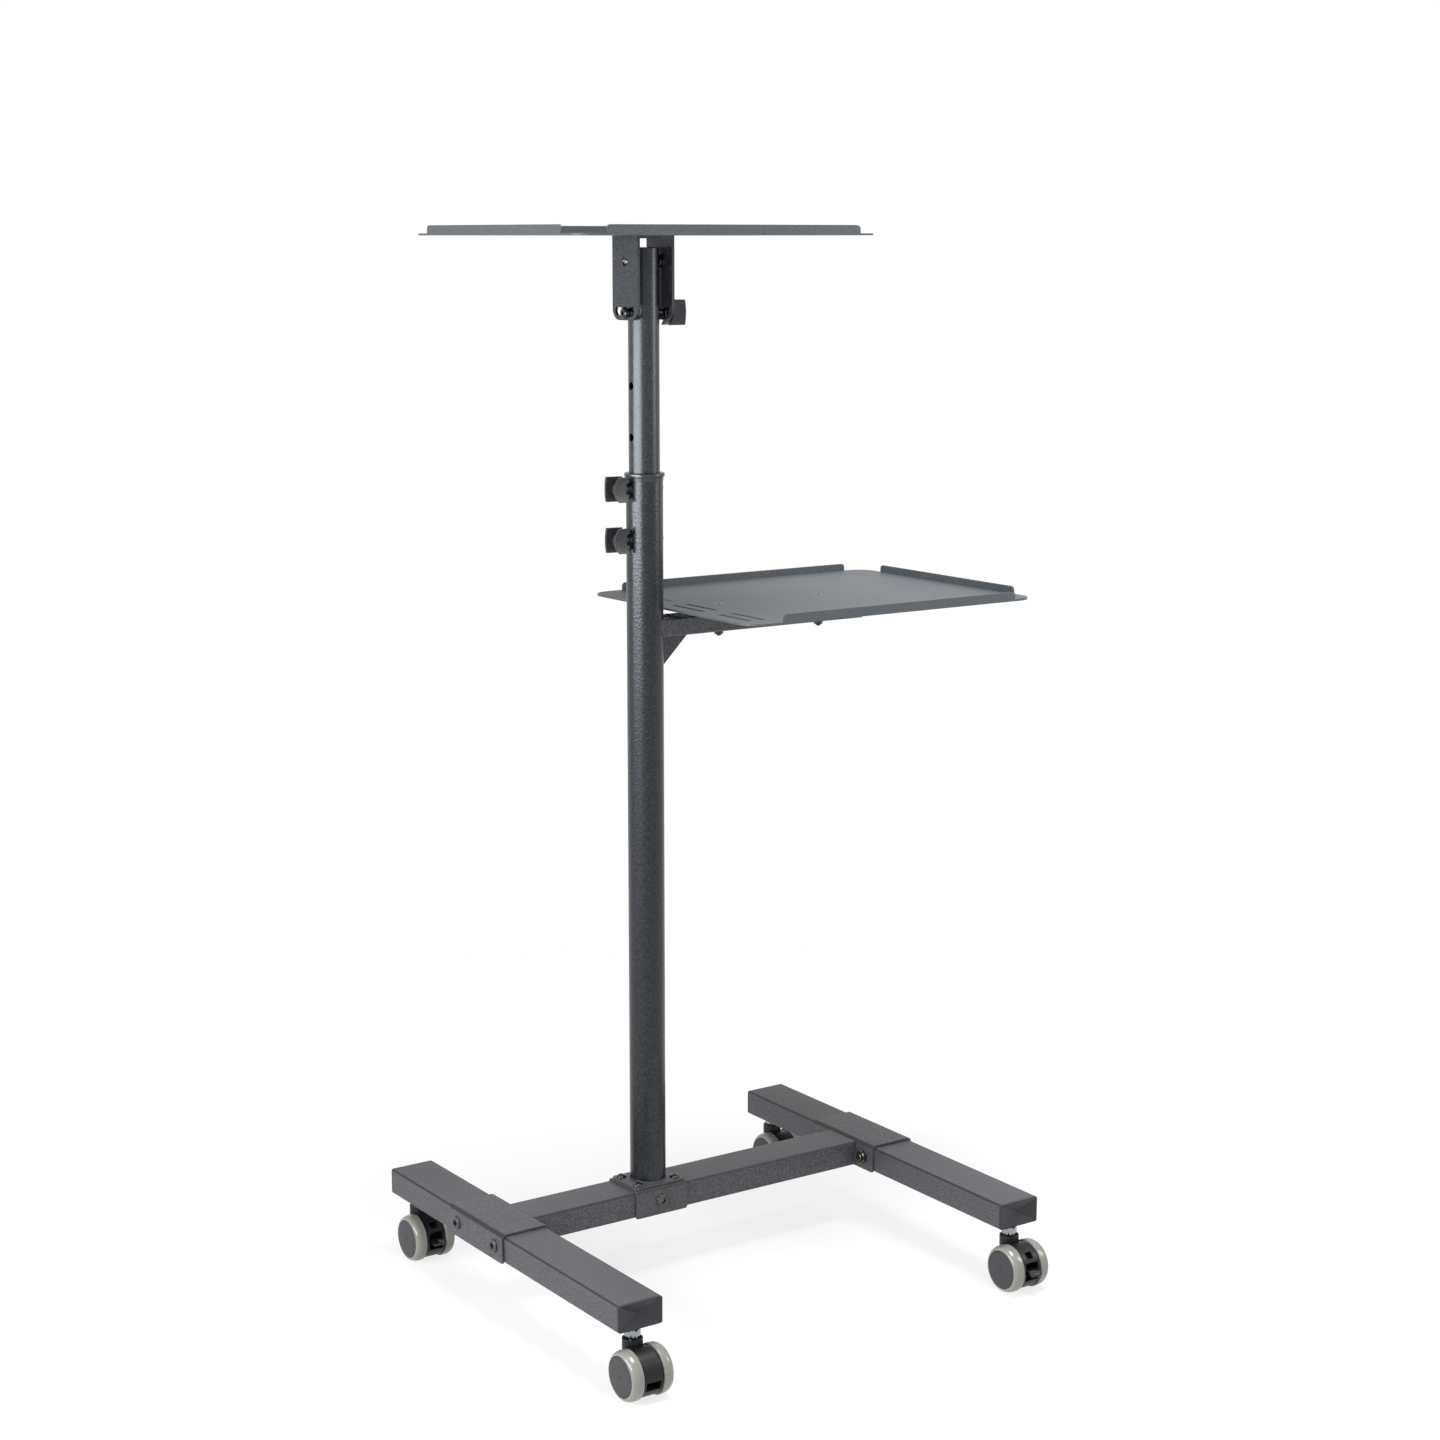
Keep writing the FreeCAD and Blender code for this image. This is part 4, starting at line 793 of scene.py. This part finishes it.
class CART_OT_fasteners(bpy.types.Operator):
    """Make the stems, and the bolts and screws of the base, the column's foot and the trays"""

    bl_idname = "cart.fasteners"
    bl_label = "Stems, bolts and screws"

    def execute(self, context):
        self.stems()
        self.socket_bolts()
        self.foot_plate()
        self.foot_screws()
        self.lower_tray_bolts()
        self.upper_tray_screws()
        return {"FINISHED"}

    def stems(self):
        """Four stems: a pin in the hood, a hexagon over its cup and a round neck up to the leg."""
        surfaces = []
        leg_bottom = tube_box("leg_left")[0][2]
        flat = sizes_of().stem_flat / MILLIMETRE / 2
        corner = 1.1547 * flat
        for label in CORNERS:
            place = PLACES[label + "_swivel"].copy()
            place[2] = leg_bottom
            profile = mm((0, -30.5), (4.4, -30.5), (4.4, -13.0), (flat, -13.0), (corner, -12.0),
                         (corner, -6.0), (flat, -5.0), (5.2, -5.0), (5.2, -1.2), (7.4, -1.2),
                         (7.4, 0), (4.8, 0), (4.8, 12), (0, 12))
            surfaces.append(turned(profile, place, Z_AXIS, flat * MILLIMETRE, range(3, 7)))
        piece("stems", surfaces, "base", "stem_chrome", ("caster_stems",),
              sharp=25.0)

    def bolt_places(self):
        """For each socket bolt: where its head stands, its direction, and the face of its nut."""
        bolts_low, bolts_high = box_of("sleeve_bolts")
        radius = sizes_of().bolt_head / 2
        for side, way in (("left", -1), ("right", 1)):
            low, high = box_of("sleeve_" + side)
            level = middle_of("leg_" + side)[2]
            near, far = (low[0], high[0]) if way < 0 else (high[0], low[0])
            for y in (bolts_low[1] + radius, bolts_high[1] - radius):
                yield np.array((near, y, level)), way * X_AXIS, np.array((far, y, level))
        low, high = box_of("saddle")
        x, level = (low[0] + high[0]) / 2, middle_of("cross_beam")[2]
        yield np.array((x, low[1], level)), -Y_AXIS, np.array((x, high[1], level))

    def socket_bolts(self):
        """Black rings round plated socket heads, and nuts on the far sides."""
        radius = sizes_of().bolt_head / MILLIMETRE / 2
        flat = sizes_of().bolt_flat / MILLIMETRE / 2
        rings, heads = [], []
        for face, toward, far in self.bolt_places():
            ring = bend(mm((4.8, 0), (radius, 0), (radius, 2.0), (4.8, 2.8)),
                        mm(0, 0.2, 1.2, 0.5), closed=True)
            rings.append(turned(ring, face, toward))
            heads.append(socket_head(face, toward, 4.7, 2.4, flat, 2.0))
            heads.append(hexagon_nut(far, -toward, 6.5, 4.8, 3.9))
        piece("bolt_rings", rings, "base", "bolt_ring",
              ("sleeve_bolts", "saddle_bolt"))
        piece("bolt_heads", heads, "base", "bolt_zinc")

    def foot_plate(self):
        """The column's foot: a plate with rounded corners and a narrow weld bead round the
        column."""
        low, high = box_of("column_foot")
        tube_low, tube_high = box_of("column_tube")
        wide, deep = (high[0] - low[0]) / 2, (high[1] - low[1]) / 2
        column = (tube_high[1] - tube_low[1]) / 2
        place = np.array(((low[0] + high[0]) / 2, (low[1] + high[1]) / 2, low[2] + FOOT_SHEET))
        loop = rectangle(wide, deep, 5 * MILLIMETRE)
        plate = slab(loop, FOOT_SHEET / 2, 0.4 * MILLIMETRE, place - 0.5 * FOOT_SHEET * Z_AXIS,
                     X_AXIS, Y_AXIS)
        bead = 1.8 * MILLIMETRE
        half = bend(((column - bead, -bead), (column + bead, -0.1 * bead),
                     (column + 0.3 * bead, 0.3 * bead), (column - 0.1 * bead, bead)),
                    (0, 0, 0.5 * bead, 0), closed=True)
        piece("foot_plate", [plate, turned(half, place, Z_AXIS)], "base",
              "frame_coat", ("column_foot",))

    def foot_screws(self):
        """Four domed screws on the foot plate."""
        low, high = box_of("foot_screws")
        radius = sizes_of().screw_head / 2
        height = high[2] - box_of("column_foot")[0][2] - FOOT_SHEET
        heads = [dome_head((x, y, high[2] - height), Z_AXIS, radius / MILLIMETRE,
                           height / MILLIMETRE, 1.5, 0.9)
                 for x in (low[0] + SCREW_INSET, high[0] - SCREW_INSET)
                 for y in (low[1] + SCREW_INSET, high[1] - SCREW_INSET)]
        piece("foot_screw_domes", heads, "base", "black_steel", ("foot_screws",))

    def lower_tray_bolts(self):
        """Sunk screws through the lower tray, its spacers and its arm to nuts, and a domed screw
        that pins the arm beside the column."""
        low, high = box_of("shelf_bolts")
        arm_top = box_of("shelf_arm")[1][2]
        deck, y, spacer = high[2], (low[1] + high[1]) / 2, (high[1] - low[1]) / 2
        under = low[2] + 6.8 * MILLIMETRE
        surfaces = []
        for x in (low[0] + spacer, high[0] - spacer):
            surfaces.append(sunk_screw((x, y, deck), Z_AXIS, 4.5, 2.4,
                                       (deck - under) / MILLIMETRE))
            ring = bend(((2.6 * MILLIMETRE, arm_top), (spacer, arm_top),
                         (spacer, deck - 2 * MILLIMETRE),
                         (2.6 * MILLIMETRE, deck - 2 * MILLIMETRE)),
                        mm(0.1, 0.5, 0.5, 0.1), steps=4, closed=True)
            surfaces.append(turned(ring, (x, y, 0.0), Z_AXIS))
            surfaces.append(hexagon_nut((x, y, under), -Z_AXIS, 4.2, 4.8, 2.5))
        column = PLACES["shelf_tilt"][0]
        surfaces.append(dome_head((column + sizes_of().arm_screw, y, arm_top), Z_AXIS,
                                  4.5, 2.6, 1.5, 1.0))
        piece("lower_tray_bolts", surfaces, "base", "black_steel",
              ("shelf_bolts",))

    def upper_tray_screws(self):
        """Four sunk screws through the upper tray and its bracket."""
        low, high = box_of("head_screws")
        length = (high[2] - low[2]) / MILLIMETRE
        heads = [sunk_screw((x, y, high[2]), Z_AXIS, SCREW_INSET / MILLIMETRE, 2.4, length)
                 for x in (low[0] + SCREW_INSET, high[0] - SCREW_INSET)
                 for y in (low[1] + SCREW_INSET, high[1] - SCREW_INSET)]
        piece("upper_tray_screws", heads, "head", "black_steel", ("head_screws",))


class CART_OT_column(bpy.types.Operator):
    """Make the collar, the mast's cap, and the pins of the tilting head"""

    bl_idname = "cart.column"
    bl_label = "Collar, cap and pins"

    def execute(self, context):
        self.collar()
        self.cap()
        self.pins()
        return {"FINISHED"}

    def collar(self):
        """The collar: a ring on the column's mouth under a broader flange, both with soft rims, and
        a short skirt down inside the column."""
        low, high = box_of("column_collar")
        mast_low, mast_high = box_of("mast_tube")
        mouth = box_of("column_tube")[1][2]
        top, flange = high[2] - mouth, (high[0] - low[0]) / 2
        ring, bore = flange - 1.25 * MILLIMETRE, (mast_high[0] - mast_low[0]) / 2 + 0.1 * MILLIMETRE
        skirt, down = bore + 0.9 * MILLIMETRE, -3.5 * MILLIMETRE
        profile = bend(((bore, down), (skirt, down), (skirt, 0), (ring, 0), (ring, 0.44 * top),
                        (flange, 0.5 * top), (flange, top), (bore + 1.2 * MILLIMETRE, top),
                        (bore, top - 0.8 * MILLIMETRE)),
                       mm(0, 0.2, 0, 0.3, 0.3, 0.4, 1.2, 0.5, 0.3), closed=True)
        place = ((low[0] + high[0]) / 2, (low[1] + high[1]) / 2, mouth)
        piece("collar_ring", [turned(profile, place, Z_AXIS)], "base",
              "collar_plastic", ("column_collar",))

    def cap(self):
        """The mast's cap: a flat disc with a soft rim over a short plug."""
        low, high = box_of("mast_plug")
        radius = (high[0] - low[0]) / 2 / MILLIMETRE
        profile = bend(mm((0, -8), (radius - 2.4, -8), (radius - 2.0, -2), (radius, -2),
                          (radius, 0), (0, 0)), mm(0, 0.6, 0.1, 0.1, 1.2, 0))
        place = ((low[0] + high[0]) / 2, (low[1] + high[1]) / 2, high[2])
        piece("mast_cap", [turned(profile, place, Z_AXIS)], "mast", "collar_plastic",
              ("mast_plug",))

    def pins(self):
        """The pivot with its washers and a black ring of painted shade round each of its ends, and the clamp bolt,
        whose socket head is on the left.
        """
        bracket_low, bracket_high = box_of("tilt_bracket")
        mast_low, mast_high = box_of("mast_tube")
        ear = (bracket_high[0] - bracket_low[0]) / 2 / MILLIMETRE
        side = (mast_high[0] - mast_low[0]) / 2 / MILLIMETRE + 0.1
        pivot = PLACES["shelf_tilt"]
        half = bend(mm((0, ear - 0.3), (2.6, ear - 0.3), (2.6, ear - 2.4), (4.9, ear - 2.4),
                       (4.9, ear - 3.3), (6.5, ear - 3.3), (6.5, side), (3.9, side)),
                    mm(0, 1.2, 0, 0, 0, 0.3, 0.3, 0), steps=4)
        # Painted shade: a black ring in each ear's hole round the pivot's end stands in for the shade in the hole
        shade_ring = bend(mm((2.6, ear - 2.5), (4.9, ear - 2.5), (4.9, ear - 0.3), (4.2, ear - 0.3),
                       (2.6, ear - 1.6)), mm(0, 0, 0.2, 0.2, 0), steps=4, closed=True)
        piece("pivot_bushes", [turned(shade_ring * (1, way), pivot, X_AXIS) for way in (-1, 1)],
              "mast", "black_steel")
        piece("pivot_and_washers", [turned(np.vstack((half, half[::-1] * (1, -1))), pivot, X_AXIS)],
              "mast", "bright_steel", ("pivot_pin",))
        low, high = box_of("clamp_bolt")
        head, tip = (low[0] - pivot[0]) / MILLIMETRE, (high[0] - pivot[0]) / MILLIMETRE
        head = max(head, -ear - 3.6)
        well, washer, outer, shank = 2.31, 5.0, 6.5, 3.9
        profile = mm((0, head + 1.6), (well, head + 1.6), (well, head + 0.2), (well + 0.2, head),
                     (3.4, head), (4.5, head + 0.3), (5.4, head + 1.0), (5.9, head + 2.0),
                     (5.9, -ear - 0.3), (shank, -ear - 0.3), (shank, 3.3 - ear),
                     (washer, 3.3 - ear), (washer, -side), (shank, -side), (shank, side),
                     (washer, side), (washer, ear - 3.3), (shank, ear - 3.3), (shank, ear + 0.3),
                     (outer, ear + 0.3), (outer, ear + 1.8), (shank, ear + 1.8),
                     (shank, tip - 0.6), (0, tip - 0.6))
        clamp = (pivot[0], pivot[1], PLACES["tilt_knob_turn"][2])
        piece("clamp_bolt_and_washers", [turned(profile, clamp, X_AXIS, 2 * MILLIMETRE, (1, 2))],
              "mast", "black_steel", ("clamp_bolt",))


class CART_OT_knobs(bpy.types.Operator):
    """Make the three wing knobs"""

    bl_idname = "cart.knobs"
    bl_label = "Wing knobs"

    def execute(self, context):
        for label in KNOBS:
            self.knob(label)
        return {"FINISHED"}

    def knob(self, label):
        """Two wings on a hub. At height w from -1 to 1 and share s from 0 to 1, a wing runs from
        its hollow inner edge, i (1 - w^2) out, to a tip that falls back by b w^2. Its outer side is
        at a + f s from the axis, and its other side lies a wall's thickness further in."""
        sizes = sizes_of()
        low, high = box_of("knob_" + label)
        way, bore = (1, 4.05) if label == "tilt" else (-1, 3.05)
        middle = (low + high) / 2
        start = np.array((low[0] if way > 0 else high[0], middle[1], middle[2]))
        reach, tall = high[0] - low[0] + sizes.wing_extra, (high[2] - low[2]) / 2
        wall, waist, spread = sizes.wing_wall, 0.5 * sizes.wing_waist, 0.5 * sizes.wing_spread
        height = np.sin(np.linspace(-np.pi / 2, np.pi / 2, 25))
        run = np.concatenate((np.linspace(0, 1, 13), np.linspace(1, 0, 13)))
        within = np.repeat((0.0, 1.0), 13)[None, :]
        w, s = np.meshgrid(height, run, indexing="ij")
        hollow = 4.0 * MILLIMETRE * (1 - w ** 2)
        side = waist + (spread - waist) * s - within * wall * (1 - 0.35 * s)
        surfaces = []
        slight = 0.2 * sizes.wing_bow
        for hand, bow in ((-1, sizes.wing_bow if way < 0 else slight), (1, slight)):
            out = hollow + s * (reach - bow * w ** 2 - hollow)
            grid = (start[0] + way * out, start[1] + hand * side, start[2] + tall * w)
            surfaces.append(closed_ends(np.stack(grid, axis=-1)))
        deep = 0.8 * wall
        plate = rectangle(waist - deep, 0.8 * tall, 2 * MILLIMETRE)
        surfaces.append(slab(plate, 0.5 * wall, 0.5 * MILLIMETRE,
                             start + 0.9 * wall * way * X_AXIS, Y_AXIS, Z_AXIS))
        hub = np.vstack((mm((0, 12.1), (bore, 12.1), (bore, 0)),
                         bend(mm((6.2, 0), (6.2, 9), (5.4, 12.9), (0, 12.9)), mm(0, 1.5, 1.5, 0))))
        surfaces.append(turned(hub, start, way * X_AXIS))
        item = piece("wing_knob_" + label, surfaces, "clamp_" + label,
                     "knob_plastic", ("knob_" + label,))
        rounding = item.modifiers.new("Soft edges", "BEVEL")
        rounding.width, rounding.segments = 0.8 * MILLIMETRE, 3
        rounding.limit_method, rounding.angle_limit = "ANGLE", math.radians(50)
        if way < 0:
            ring = bend(mm((bore, -1.4), (5.0, -1.4), (5.0, -0.1), (bore, -0.1)),
                        mm(0, 0.4, 0.4, 0), closed=True)
            piece("stud_ring_" + label, [turned(ring, start, way * X_AXIS)], "clamp_" + label,
                  "bright_steel")


def seen(tree):
    """One for camera, glossy and transmission rays, which see the white studio, and zero for the
    rays that light the cart: the largest of three kinds of ray."""
    rays = node(tree, "ShaderNodeLightPath", (-900, 500))
    first = node(tree, "ShaderNodeMath", (-700, 500), operation="MAXIMUM")
    both = node(tree, "ShaderNodeMath", (-500, 500), operation="MAXIMUM")
    tree.links.new(rays.outputs["Is Camera Ray"], first.inputs[0])
    tree.links.new(rays.outputs["Is Glossy Ray"], first.inputs[1])
    tree.links.new(first.outputs[0], both.inputs[0])
    tree.links.new(rays.outputs["Is Transmission Ray"], both.inputs[1])
    return both.outputs[0]


def lamp(name, place, target, wide, high, power):
    """A soft rectangular lamp that faces a target."""
    data = bpy.data.lights.new(name, "AREA")
    data.shape = "RECTANGLE"
    data.size, data.size_y, data.energy = wide, high, power
    item = bpy.data.objects.new(name, data)
    bpy.context.scene.collection.objects.link(item)
    item.location = place
    toward = np.asarray(target, float) - np.asarray(place, float)
    side, up, back = basis(-toward)
    item.rotation_euler = facing(side, up, back).to_euler()
    item.visible_camera = False


def facing(side, up, back):
    """A rotation whose columns are three directions."""
    return Matrix(np.stack((side, up, back), axis=1).tolist())


class CART_OT_stage(bpy.types.Operator):
    """Make the floor, the backdrop's white, the lamps and the camera"""

    bl_idname = "cart.stage"
    bl_label = "Studio"

    def execute(self, context):
        studio = studio_of()
        scene = context.scene
        scene.view_settings.view_transform = "Standard"
        self.floor(studio)
        self.room(scene, studio)
        for name, place, target, wide, high in LAMPS:
            lamp(name + "_lamp", place, target, wide, high, getattr(studio, name))
        self.camera(scene, studio)
        return {"FINISHED"}

    def floor(self, studio):
        """A plain square; near the cart it takes shadows, and further out it turns white."""
        side = np.linspace(-20.0, 20.0, 2)
        across, along = np.meshgrid(side, side, indexing="ij")
        points = np.stack((across, along, np.zeros_like(across)), axis=-1).reshape(-1, 3)
        mesh = bpy.data.meshes.new("floor")
        mesh.from_pydata(points.tolist(), [], [(0, 2, 3, 1)])
        finish = bpy.data.materials.new("floor_paint")
        finish.use_nodes = True
        tree = finish.node_tree
        out = tree.nodes["Material Output"]
        tree.nodes.remove(tree.nodes["Principled BSDF"])
        matte = node(tree, "ShaderNodeBsdfDiffuse", (-200, 100),
                     {"Color": (*studio.floor_colour, 1.0)})
        white = node(tree, "ShaderNodeEmission", (-200, -100))
        place = node(tree, "ShaderNodeTexCoord", (-900, 0))
        away = node(tree, "ShaderNodeVectorMath", (-700, 0), operation="LENGTH")
        fade = node(tree, "ShaderNodeMapRange", (-500, 0),
                    {"From Min": 0.35 * studio.floor_reach, "From Max": studio.floor_reach,
                     "To Min": 1.0 - studio.shade}, interpolation_type="SMOOTHSTEP")
        share = node(tree, "ShaderNodeMath", (-300, 200), operation="MULTIPLY")
        mix = node(tree, "ShaderNodeMixShader", (100, 0))
        link = tree.links.new
        link(place.outputs["Object"], away.inputs[0])
        link(away.outputs["Value"], fade.inputs["Value"])
        link(fade.outputs[0], share.inputs[0])
        link(seen(tree), share.inputs[1])
        link(share.outputs[0], mix.inputs["Fac"])
        link(matte.outputs[0], mix.inputs[1])
        link(white.outputs[0], mix.inputs[2])
        link(mix.outputs[0], out.inputs["Surface"])
        mesh.materials.append(finish)
        item = bpy.data.objects.new("floor", mesh)
        bpy.context.scene.collection.objects.link(item)

    def room(self, scene, studio):
        """An even sky that shows as plain white to the camera and in reflections."""
        world = bpy.data.worlds.new("studio_room")
        scene.world = world
        world.use_nodes = True
        tree = world.node_tree
        sky = tree.nodes["Background"]
        sky.inputs["Color"].default_value = (1.0, 1.0, 1.0, 1.0)
        sky.inputs["Strength"].default_value = studio.sky
        white = node(tree, "ShaderNodeBackground", (-200, -200), {"Color": (1.0, 1.0, 1.0, 1.0)})
        mix = node(tree, "ShaderNodeMixShader", (100, 0))
        tree.links.new(seen(tree), mix.inputs["Fac"])
        tree.links.new(sky.outputs[0], mix.inputs[1])
        tree.links.new(white.outputs[0], mix.inputs[2])
        tree.links.new(mix.outputs[0], tree.nodes["World Output"].inputs["Surface"])

    def camera(self, scene, studio):
        """The camera at the photograph's place and angle, looking level with its own elevation."""
        a, e = studio.azimuth, studio.elevation
        back = np.array((math.sin(a) * math.cos(e), -math.cos(a) * math.cos(e), math.sin(e)))
        side = np.array((math.cos(a), math.sin(a), 0.0))
        data = bpy.data.cameras.new("camera")
        data.lens, data.sensor_width = studio.lens, 36.0
        item = bpy.data.objects.new("camera", data)
        scene.collection.objects.link(item)
        item.location = studio.camera_place
        item.rotation_euler = facing(side, np.cross(back, side), back).to_euler()
        scene.camera = item


STEPS = (CART_OT_stage, CART_OT_finishes, CART_OT_wheels, CART_OT_hoods, CART_OT_tubes,
         CART_OT_caps, CART_OT_clasps, CART_OT_fasteners, CART_OT_column, CART_OT_knobs)


class CART_PT_panel(bpy.types.Panel):
    """Sizes, finishes and studio of the cart, and its pieces in their order"""

    bl_idname = "CART_PT_panel"
    bl_label = "Projector Cart"
    bl_space_type = "VIEW_3D"
    bl_region_type = "UI"
    bl_category = "Cart"

    def draw(self, context):
        scene = context.scene
        for settings in (scene.cart_sizes, scene.cart_finish, scene.cart_studio):
            column = self.layout.column(align=True)
            for name in settings.__annotations__:
                column.prop(settings, name)
        for step in STEPS:
            self.layout.operator(step.bl_idname)


CLASSES = (CartFinish, CartSizes, CartStudio) + STEPS + (CART_PT_panel,)


def register():
    """Register the classes and hang the settings on the scene."""
    for entry in CLASSES:
        bpy.utils.register_class(entry)
    bpy.types.Scene.cart_finish = PointerProperty(type=CartFinish)
    bpy.types.Scene.cart_sizes = PointerProperty(type=CartSizes)
    bpy.types.Scene.cart_studio = PointerProperty(type=CartStudio)


def unregister():
    """Undo what register did."""
    del bpy.types.Scene.cart_studio
    del bpy.types.Scene.cart_sizes
    del bpy.types.Scene.cart_finish
    for entry in reversed(CLASSES):
        bpy.utils.unregister_class(entry)


def main():
    """Register the steps and make the whole cart."""
    register()
    bpy.ops.cart.stage()
    bpy.ops.cart.finishes()
    bpy.ops.cart.wheels()
    bpy.ops.cart.hoods()
    bpy.ops.cart.tubes()
    bpy.ops.cart.caps()
    bpy.ops.cart.clasps()
    bpy.ops.cart.fasteners()
    bpy.ops.cart.column()
    bpy.ops.cart.knobs()


if __name__ == "__main__":
    main()
